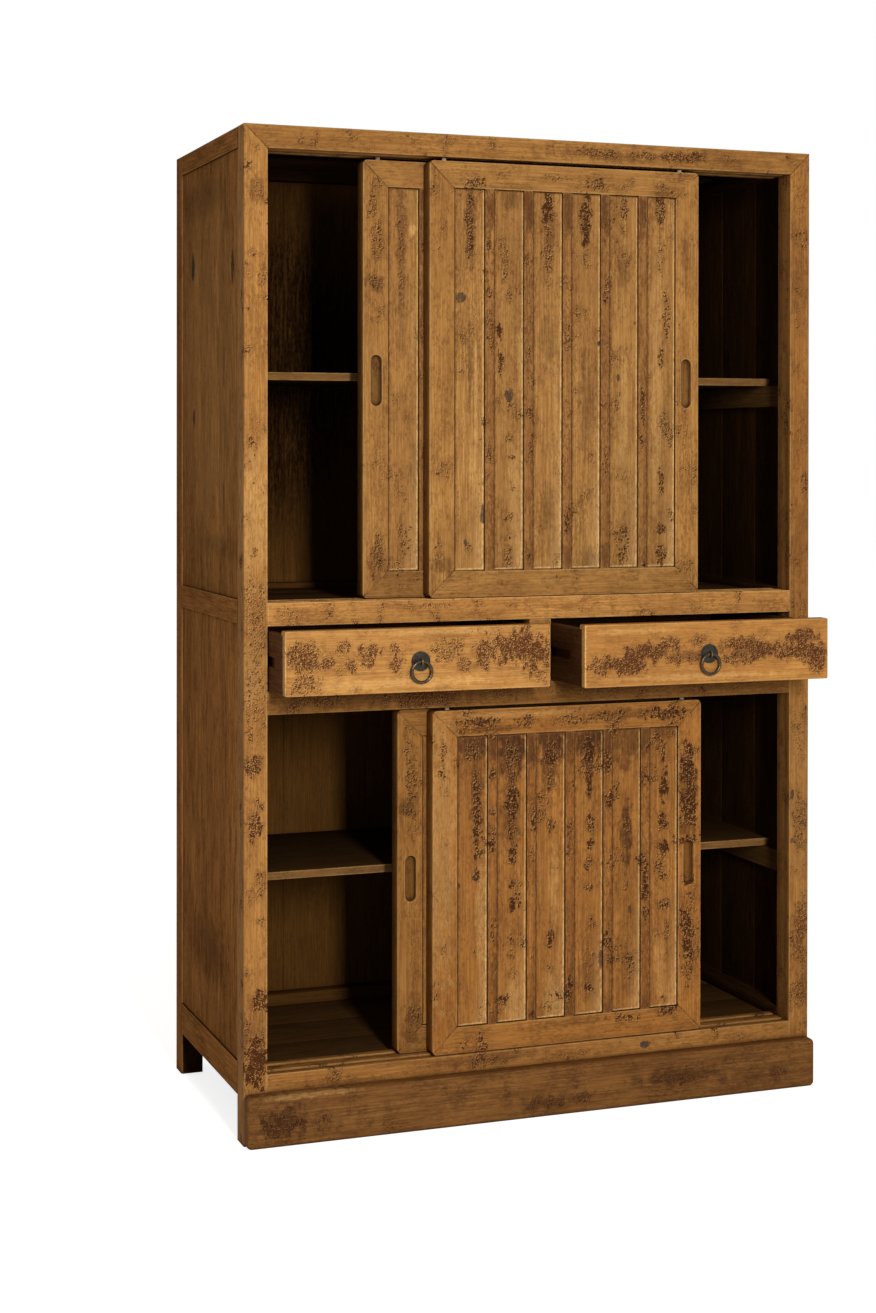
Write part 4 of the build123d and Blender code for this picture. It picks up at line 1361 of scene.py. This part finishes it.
@dataclass
class Carcass:
    """The posts, rails, panels, shelves and plinth, which don't move."""

    effects: Effects
    post_arris: float = 0.0022
    rail_arris: float = 0.0012
    panel_arris: float = 0.0006
    shelf_arris: float = 0.0018
    plinth_arris: float = 0.0005
    left_tint: float = 1.17
    right_tint: float = 0.91
    right_redness: float = 0.06
    back_rail_tint: float = 0.8
    # The back top rail is darkened as painted shade, and its faces that look up and back are made lighter
    # again.
    lid_shade_tint: float = 0.3
    lid_outer_unshaded_tint: float = 7.0
    lid_outward: Triple = (0.0, 0.71, 0.71)

    def build(self) -> list[Piece]:
        """Make and dress every fixed piece.

        Returns:
            The pieces.
        """
        return [*self.posts(), *self.rails(), *self.panels(), *self.inside(), self.plinth()]

    def fit(self, nodes: Sequence[str], arris: float, finish: WoodFinish, grain: Grain,
            ageing: Ageing = Ageing(), side: Side = Side.FRONT, mitred: bool = False) -> list[Piece]:
        """Copy several solids and dress them in one material.

        Args:
            nodes: Their names.
            arris: The width of their eased edges in metres.
            finish: Their finish.
            grain: The direction of their fibres.
            ageing: The marks on the first of them.
            side: The face that the marks lie on.
            mitred: Whether they are part of the mitred front.

        Returns:
            The pieces.
        """
        face = MarkedFace(*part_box(nodes[0]), ageing, side)
        mitre = box_of("front_post_left", "front_post_right", "top_front_rail") if mitred else None
        title = nodes[0].replace("_", " ")
        material = WoodMaterial(self.effects, finish, grain, face, title, mitre).build()
        pieces = [worn_copy(node, arris) for node in nodes]
        for piece in pieces:
            dress(piece, material)
        return pieces

    def posts(self) -> list[Piece]:
        """Make the four posts and the upright between the drawers.

        Returns:
            The pieces.
        """
        left = FRONT_WOOD.tinted(self.left_tint)
        right = FRONT_WOOD.tinted(self.right_tint, self.right_redness)
        back = replace(SIDE_WOOD, name="back post wood", slot="carcass_wood")
        return [
            *self.fit(["front_post_left"], self.post_arris, left, Grain.UPRIGHT, LEFT_POST, mitred=True),
            *self.fit(["front_post_right"], self.post_arris, right, Grain.UPRIGHT, RIGHT_POST, mitred=True),
            *self.fit(["back_post_left", "back_post_right"], self.post_arris, back, Grain.UPRIGHT),
            *self.fit(["drawer_divider"], self.rail_arris, FRONT_WOOD, Grain.UPRIGHT),
        ]

    def rails(self) -> list[Piece]:
        """Make the front, side and back rails.

        Returns:
            The pieces.
        """
        back_wood = replace(BACK_WOOD, name="back rail wood", slot="carcass_wood")
        lid = replace(back_wood.tinted(self.lid_shade_tint), outward=self.lid_outward,
                      outer_unshaded_tint=self.lid_outer_unshaded_tint)
        pieces = []
        for node, (tint, redness), ageing in FRONT_RAILS:
            finish = FRONT_WOOD.tinted(tint, redness)
            pieces += self.fit([node], self.rail_arris, finish, Grain.ACROSS, ageing,
                               mitred=node == "top_front_rail")
        for nodes, finish, grain in (
                (["side_top_rails", "side_middle_rails", "side_bottom_rails"], SIDE_WOOD, Grain.DEEP),
                (["back_top_rail"], lid, Grain.ACROSS),
                (["back_middle_rail", "back_bottom_rail"], back_wood.tinted(self.back_rail_tint),
                 Grain.ACROSS)):
            pieces += self.fit(nodes, self.rail_arris, finish, grain)
        return pieces

    def panels(self) -> list[Piece]:
        """Make the boards of the sides, the back and the top.

        Returns:
            The pieces.
        """
        arris = self.panel_arris
        return [
            *self.fit(["left_side_boards"], arris, SIDE_WOOD, Grain.UPRIGHT, LEFT_SIDE, Side.LEFT),
            *self.fit(["right_side_boards"], arris, SIDE_WOOD, Grain.UPRIGHT),
            *self.fit(["back_boards"], arris, BACK_WOOD, Grain.UPRIGHT, BACK_BOARD_SHADOWS),
            *self.fit(["top_boards"], arris, TOP_WOOD, Grain.ACROSS),
        ]

    def inside(self) -> list[Piece]:
        """Make the floors, shelves, cleats, guides and runners.

        Returns:
            The pieces.
        """
        floors = ["upper_floor_boards", "lower_floor_boards", "drawer_dust_boards"]
        bearers = ["shelf_and_dust_board_cleats", "drawer_guides", "drawer_runners"]
        return [
            *self.fit(floors, self.panel_arris, INNER_WOOD, Grain.ACROSS),
            *self.fit(["upper_shelf", "lower_shelf"], self.shelf_arris, SHELF_WOOD, Grain.ACROSS),
            *self.fit(bearers, self.rail_arris, INNER_WOOD, Grain.DEEP),
        ]

    def plinth(self) -> Piece:
        """The board across the foot."""
        return self.fit(["plinth_board"], self.plinth_arris, PLINTH_WOOD, Grain.ACROSS, PLINTH)[0]


# ------------------------------------------------------------------------------- doors

@dataclass
class SlidingDoor:
    """One frame-and-board door."""

    effects: Effects
    body: str
    frame_ageing: Ageing = Ageing()
    board_ageing: Ageing = Ageing()
    muntin_ageing: Ageing = DOOR_MUNTINS
    tint: float = 1.0
    redness: float = 0.0
    speckled: float = 1.0
    frame_arris: float = 0.0012
    board_arris: float = 0.0006
    muntin_arris: float = 0.0010
    rail_tint: float = 0.90

    def node(self, part: str) -> str:
        """The name of one of the door's solids."""
        return self.body + "_" + part

    def build(self) -> list[Piece]:
        """Make and dress the door.

        Returns:
            The pieces.
        """
        low, high = box_of(self.node("stiles"))
        parts = (
            ("stiles", self.frame_arris, FRAME_WOOD, Grain.UPRIGHT, self.frame_ageing),
            ("rails", self.frame_arris, FRAME_WOOD.tinted(self.rail_tint), Grain.ACROSS, self.frame_ageing),
            ("boards", self.board_arris, BOARD_WOOD, Grain.UPRIGHT, self.board_ageing),
            ("muntins", self.muntin_arris, MUNTIN_WOOD, Grain.UPRIGHT, self.muntin_ageing),
            ("guide_pins", 0.0, PIN_WOOD, Grain.UPRIGHT, Ageing()),
        )
        pieces = []
        for part, arris, finish, grain, ageing in parts:
            piece = worn_copy(self.node(part), arris)
            face = MarkedFace(low, high, ageing)
            title = self.node(part).replace("_", " ")
            finish = finish.tinted(self.tint, self.redness)
            finish = replace(finish, speckle=finish.speckle * self.speckled,
                             speckle_size=finish.speckle_size / self.speckled)
            mitre = (low, high) if part in ("stiles", "rails") else None
            wood = WoodMaterial(self.effects, finish, grain, face, title, mitre).build()
            dress(piece, wood)
            pieces.append(piece)
        return pieces


# ----------------------------------------------------------------------------- drawers

# Turns in degrees that bring an upright axis to the front and to the side.
FACING_FRONT = (90.0, 0.0, 0.0)
FACING_SIDE = (0.0, 90.0, 0.0)
# The part of a normal that points back, below which a face looks to the front.
FRONT_FACE = -0.9


@dataclass
class RingPull:
    """The ring, its round plate and the eye that joins them."""

    effects: Effects
    side: str
    ring_radius: float = 0.01725
    wire_radius: float = 0.0027
    plate_radius: float = 0.01625
    plate_thickness: float = 0.002
    eye_radius: float = 0.00475
    eye_wire: float = 0.00145
    eye_reach: float = 0.007
    shank_radius: float = 0.0021
    shank_arris: float = 0.0004
    ring_flattening: float = 0.94
    ring_facets: tuple[int, int] = (72, 20)
    eye_facets: tuple[int, int] = (40, 14)
    plate_facets: int = 64
    shank_facets: int = 24
    plate_arris: float = 0.0005
    plate_steps: tuple[Span, ...] = ((0.0022, 0.0), (0.0007, 0.0009), (0.0070, -0.0012), (0.0030, -0.0004))
    smooth_turns: Triple = (80.0, 50.0, 60.0)

    def pivot(self) -> Vector:
        """The middle of the wire where the ring hangs in the eye."""
        low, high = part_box(self.side + "_drawer_pull_ring")
        return Vector(((low.x + high.x) / 2, (low.y + high.y) / 2, high.z - self.wire_radius))

    def torus(self, name: str, place: Vector, axis: Triple, radii: Span, facets: tuple[int, int]) -> Piece:
        """Add a loop of round wire.

        Args:
            name: What it is, after the side.
            place: Its middle.
            axis: Its turn in degrees.
            radii: The loop's and the wire's radius in metres.
            facets: The number of facets around the loop and around the wire.

        Returns:
            The loop, with its place in its mesh.
        """
        deselect()
        bpy.ops.mesh.primitive_torus_add(
            location=place, rotation=[math.radians(turn) for turn in axis], major_radius=radii[0],
            minor_radius=radii[1], major_segments=facets[0], minor_segments=facets[1])
        return self.settled(name)

    def rod(self, name: str, place: Vector, radius: float, length: float, facets: int) -> Piece:
        """Add a round rod that points to the front.

        Args:
            name: What it is, after the side.
            place: Its middle.
            radius: Its radius in metres.
            length: Its length in metres.
            facets: The number of facets around it.

        Returns:
            The rod, with its place in its mesh.
        """
        deselect()
        bpy.ops.mesh.primitive_cylinder_add(
            vertices=facets, radius=radius, depth=length, location=place,
            rotation=[math.radians(turn) for turn in FACING_FRONT])
        return self.settled(name)

    def settled(self, name: str) -> Piece:
        """Name the new piece and take its place into its mesh.

        Args:
            name: What it is, after the side.

        Returns:
            The piece.
        """
        piece = bpy.context.object
        piece.name = self.side + name
        bpy.ops.object.transform_apply(location=True, rotation=True, scale=True)
        return piece

    def ring(self) -> Piece:
        """Make the hanging ring, a little flattened where hands have worn it.

        Returns:
            The ring.
        """
        centre = self.pivot() - Vector((0.0, 0.0, self.ring_radius))
        piece = self.torus("_ring_pull", centre, FACING_FRONT, (self.ring_radius, self.wire_radius),
                           self.ring_facets)
        bpy.ops.object.mode_set(mode="EDIT")
        bpy.ops.mesh.select_all(action="SELECT")
        bpy.ops.transform.resize(value=(1.0, self.ring_flattening, 1.0), center_override=centre)
        bpy.ops.object.mode_set(mode="OBJECT")
        finish_shading(piece, self.smooth_turns[0])
        return piece

    def plate(self) -> Piece:
        """Make the round plate, dished inside a raised rim.

        Returns:
            The plate.
        """
        middle = self.pivot() + Vector((0.0, self.eye_reach - self.plate_thickness / 2, 0.0))
        piece = self.rod("_pull_plate", middle, self.plate_radius, self.plate_thickness, self.plate_facets)
        for polygon in piece.data.polygons:
            polygon.select = polygon.normal.y < FRONT_FACE
        bpy.ops.object.mode_set(mode="EDIT")
        bpy.ops.mesh.select_mode(type="FACE")
        for inset, push in self.plate_steps:
            bpy.ops.mesh.inset(thickness=inset)
            bpy.ops.transform.translate(value=(0.0, push, 0.0))
        bpy.ops.object.mode_set(mode="OBJECT")
        bevel_edges(piece, self.plate_arris, segments=3, angle=25.0)
        finish_shading(piece, self.smooth_turns[1])
        return piece

    def eye(self) -> Piece:
        """Make the bent-wire eye and the shank that runs into the plate.

        Returns:
            The eye.
        """
        pivot = self.pivot()
        loop = self.torus("_pull_eye", pivot, FACING_SIDE, (self.eye_radius, self.eye_wire),
                          self.eye_facets)
        length = self.eye_reach - self.eye_radius
        middle = pivot + Vector((0.0, self.eye_radius + length / 2, 0.0))
        shank = self.rod("_pull_shank", middle, self.shank_radius, length, self.shank_facets)
        bevel_edges(shank, self.shank_arris)
        loop.select_set(True)
        bpy.context.view_layer.objects.active = loop
        bpy.ops.object.join()
        finish_shading(loop, self.smooth_turns[2])
        return loop

    def build(self) -> list[Piece]:
        """Make and dress the pull.

        Returns:
            The pieces.
        """
        ring, plate, eye = self.ring(), self.plate(), self.eye()
        dress(ring, iron_material(self.effects, replace(RING_IRON, name=self.side + " ring iron")))
        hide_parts(self.side + "_drawer_pull_ring")
        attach(ring, self.side + "_ring")
        for piece, finish in ((plate, PLATE_IRON), (eye, EYE_IRON)):
            named = replace(finish, name=self.side + " " + finish.name)
            dress(piece, iron_material(self.effects, named))
            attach(piece, self.side + "_drawer")
        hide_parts(self.side + "_drawer_pull_plate")
        return [ring, plate, eye]


@dataclass
class Drawer:
    """One drawer with its pull."""

    effects: Effects
    side: str
    ageing: Ageing = Ageing()
    tint: float = 1.0
    redness: float = 0.0
    side_tint: float = 1.0
    front_arris: float = 0.0006
    side_arris: float = 0.0010

    def build(self) -> list[Piece]:
        """Make and dress the drawer.

        Returns:
            The pieces.
        """
        name = self.side + "_drawer"
        front = worn_copy(name + "_front", self.front_arris)
        face = MarkedFace(*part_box(name + "_front"), self.ageing)
        finish = DRAWER_FRONT_WOOD.tinted(self.tint, self.redness)
        wood = WoodMaterial(self.effects, finish, Grain.ACROSS, face, name + " front").build()
        dress(front, wood)
        pieces = [front]
        for part, grain in (("_sides", Grain.DEEP), ("_back", Grain.ACROSS), ("_bottom", Grain.ACROSS)):
            piece = worn_copy(name + part, self.side_arris)
            inner = DRAWER_WOOD.tinted(self.side_tint)
            dress(piece, WoodMaterial(self.effects, inner, grain, title=name + part).build())
            pieces.append(piece)
        return pieces + RingPull(self.effects, self.side).build()


# ------------------------------------------------------------------------------ studio

WHITE = (1.0, 1.0, 1.0, 1.0)


@dataclass
class Studio:
    """The floor, the light, the sky and the camera."""

    camera_place: Triple = (-1.4484, -3.5880, 1.1543)
    camera_yaw: float = 20.20
    camera_pitch: float = -0.38
    camera_roll: float = 0.06
    lens: float = 58.72
    frame_shift: float = -0.1477
    floor_half_size: float = 14.0
    floor_colour: Colour = (0.80, 0.79, 0.77, 1.0)
    floor_roughness: float = 0.9
    floor_lift: float = 0.78
    sky: float = 0.28
    lamp_place: Triple = (-0.60, -5.2, 1.95)
    lamp_target: Triple = (0.0, -0.15, 0.85)
    lamp_size: Span = (0.50, 1.50)
    lamp_power: float = 185.0

    def build(self) -> None:
        """Set up the studio."""
        self.floor()
        self.world()
        self.key_light()
        self.camera()
        bpy.context.scene.view_settings.view_transform = "Standard"

    def seen_directly(self, sheet: NodeSheet) -> Socket:
        """Tell the rays of the camera and of reflections from those that light the cabinet.

        Args:
            sheet: The sheet to put the nodes on.

        Returns:
            1 for the camera's, glossy and transmission rays, else 0.
        """
        paths = sheet.put("LightPath").outputs
        seen = sheet.most(paths["Is Camera Ray"], paths["Is Glossy Ray"])
        return sheet.most(seen, paths["Is Transmission Ray"])

    def floor(self) -> None:
        """A pale floor that keeps the cabinet's shadow and fades to the white behind."""
        deselect()
        bpy.ops.mesh.primitive_plane_add(size=2 * self.floor_half_size)
        floor = bpy.context.object
        floor.name = "studio_floor"
        material, sheet, shader = new_material("studio floor")
        shader.inputs["Base Color"].default_value = self.floor_colour
        shader.inputs["Roughness"].default_value = self.floor_roughness
        glow = sheet.put("Emission", WHITE, sheet.times(self.seen_directly(sheet), self.floor_lift))
        both = sheet.put("AddShader", shader.outputs[0], glow.outputs[0])
        sheet.feed(material.node_tree.nodes["Material Output"].inputs["Surface"], both.outputs[0])
        floor.data.materials.append(material)

    def world(self) -> None:
        """A dim even sky for light, seen as plain white by the camera and in reflections."""
        world = bpy.data.worlds.new("studio")
        bpy.context.scene.world = world
        world.use_nodes = True
        sheet = NodeSheet(world.node_tree)
        shader = world.node_tree.nodes["Background"]
        shader.inputs["Color"].default_value = WHITE
        sheet.feed(shader.inputs["Strength"], sheet.lifted(self.seen_directly(sheet), self.sky))

    def key_light(self) -> None:
        """Hang one tall soft light, nearly square to the front and a little above it."""
        data = bpy.data.lights.new("key light", "AREA")
        data.shape = "RECTANGLE"
        data.size, data.size_y = self.lamp_size
        data.energy = self.lamp_power
        lamp = bpy.data.objects.new("key light", data)
        bpy.context.scene.collection.objects.link(lamp)
        lamp.location = self.lamp_place
        aim = Vector(self.lamp_target) - Vector(self.lamp_place)
        lamp.rotation_euler = aim.to_track_quat("-Z", "Y").to_euler()

    def camera(self) -> None:
        """The camera, a little to the left of the cabinet's middle."""
        data = bpy.data.cameras.new("camera")
        data.lens = self.lens
        data.shift_y = self.frame_shift
        camera = bpy.data.objects.new("camera", data)
        bpy.context.scene.collection.objects.link(camera)
        turn = (Matrix.Rotation(math.radians(-self.camera_yaw), 4, "Z")
                @ Matrix.Rotation(math.radians(90.0 + self.camera_pitch), 4, "X")
                @ Matrix.Rotation(math.radians(self.camera_roll), 4, "Z"))
        camera.matrix_world = Matrix.Translation(self.camera_place) @ turn
        bpy.context.scene.camera = camera


# ------------------------------------------------------------------------------- main


def main() -> None:
    """Build the cabinet's looks piece by piece, then the studio around it."""
    logging.basicConfig(level=logging.INFO, format="%(name)s: %(message)s")
    effects = Effects()
    assemblies = {
        "carcass": Carcass(effects),
        "upper front door": SlidingDoor(effects, "upper_front_door", UPPER_FRAME, UPPER_BOARDS,
                                        speckled=1.10),
        "upper rear door": SlidingDoor(effects, "upper_rear_door", REAR_FRAME, REAR_BOARDS),
        "lower front door": SlidingDoor(effects, "lower_front_door", LOWER_FRAME, LOWER_BOARDS,
                                        tint=0.97, redness=0.14, speckled=1.25),
        "lower rear door": SlidingDoor(effects, "lower_rear_door", REAR_FRAME, tint=0.90, redness=0.07),
        "left drawer": Drawer(effects, "left", LEFT_DRAWER, tint=1.30),
        "right drawer": Drawer(effects, "right", RIGHT_DRAWER, tint=1.23, redness=0.06, side_tint=0.6),
    }
    for title, assembly in assemblies.items():
        for piece in assembly.build():
            log.info("%s: %s, %d faces", title, piece.name, len(piece.data.polygons))
    Studio().build()


if __name__ == "__main__":
    main()
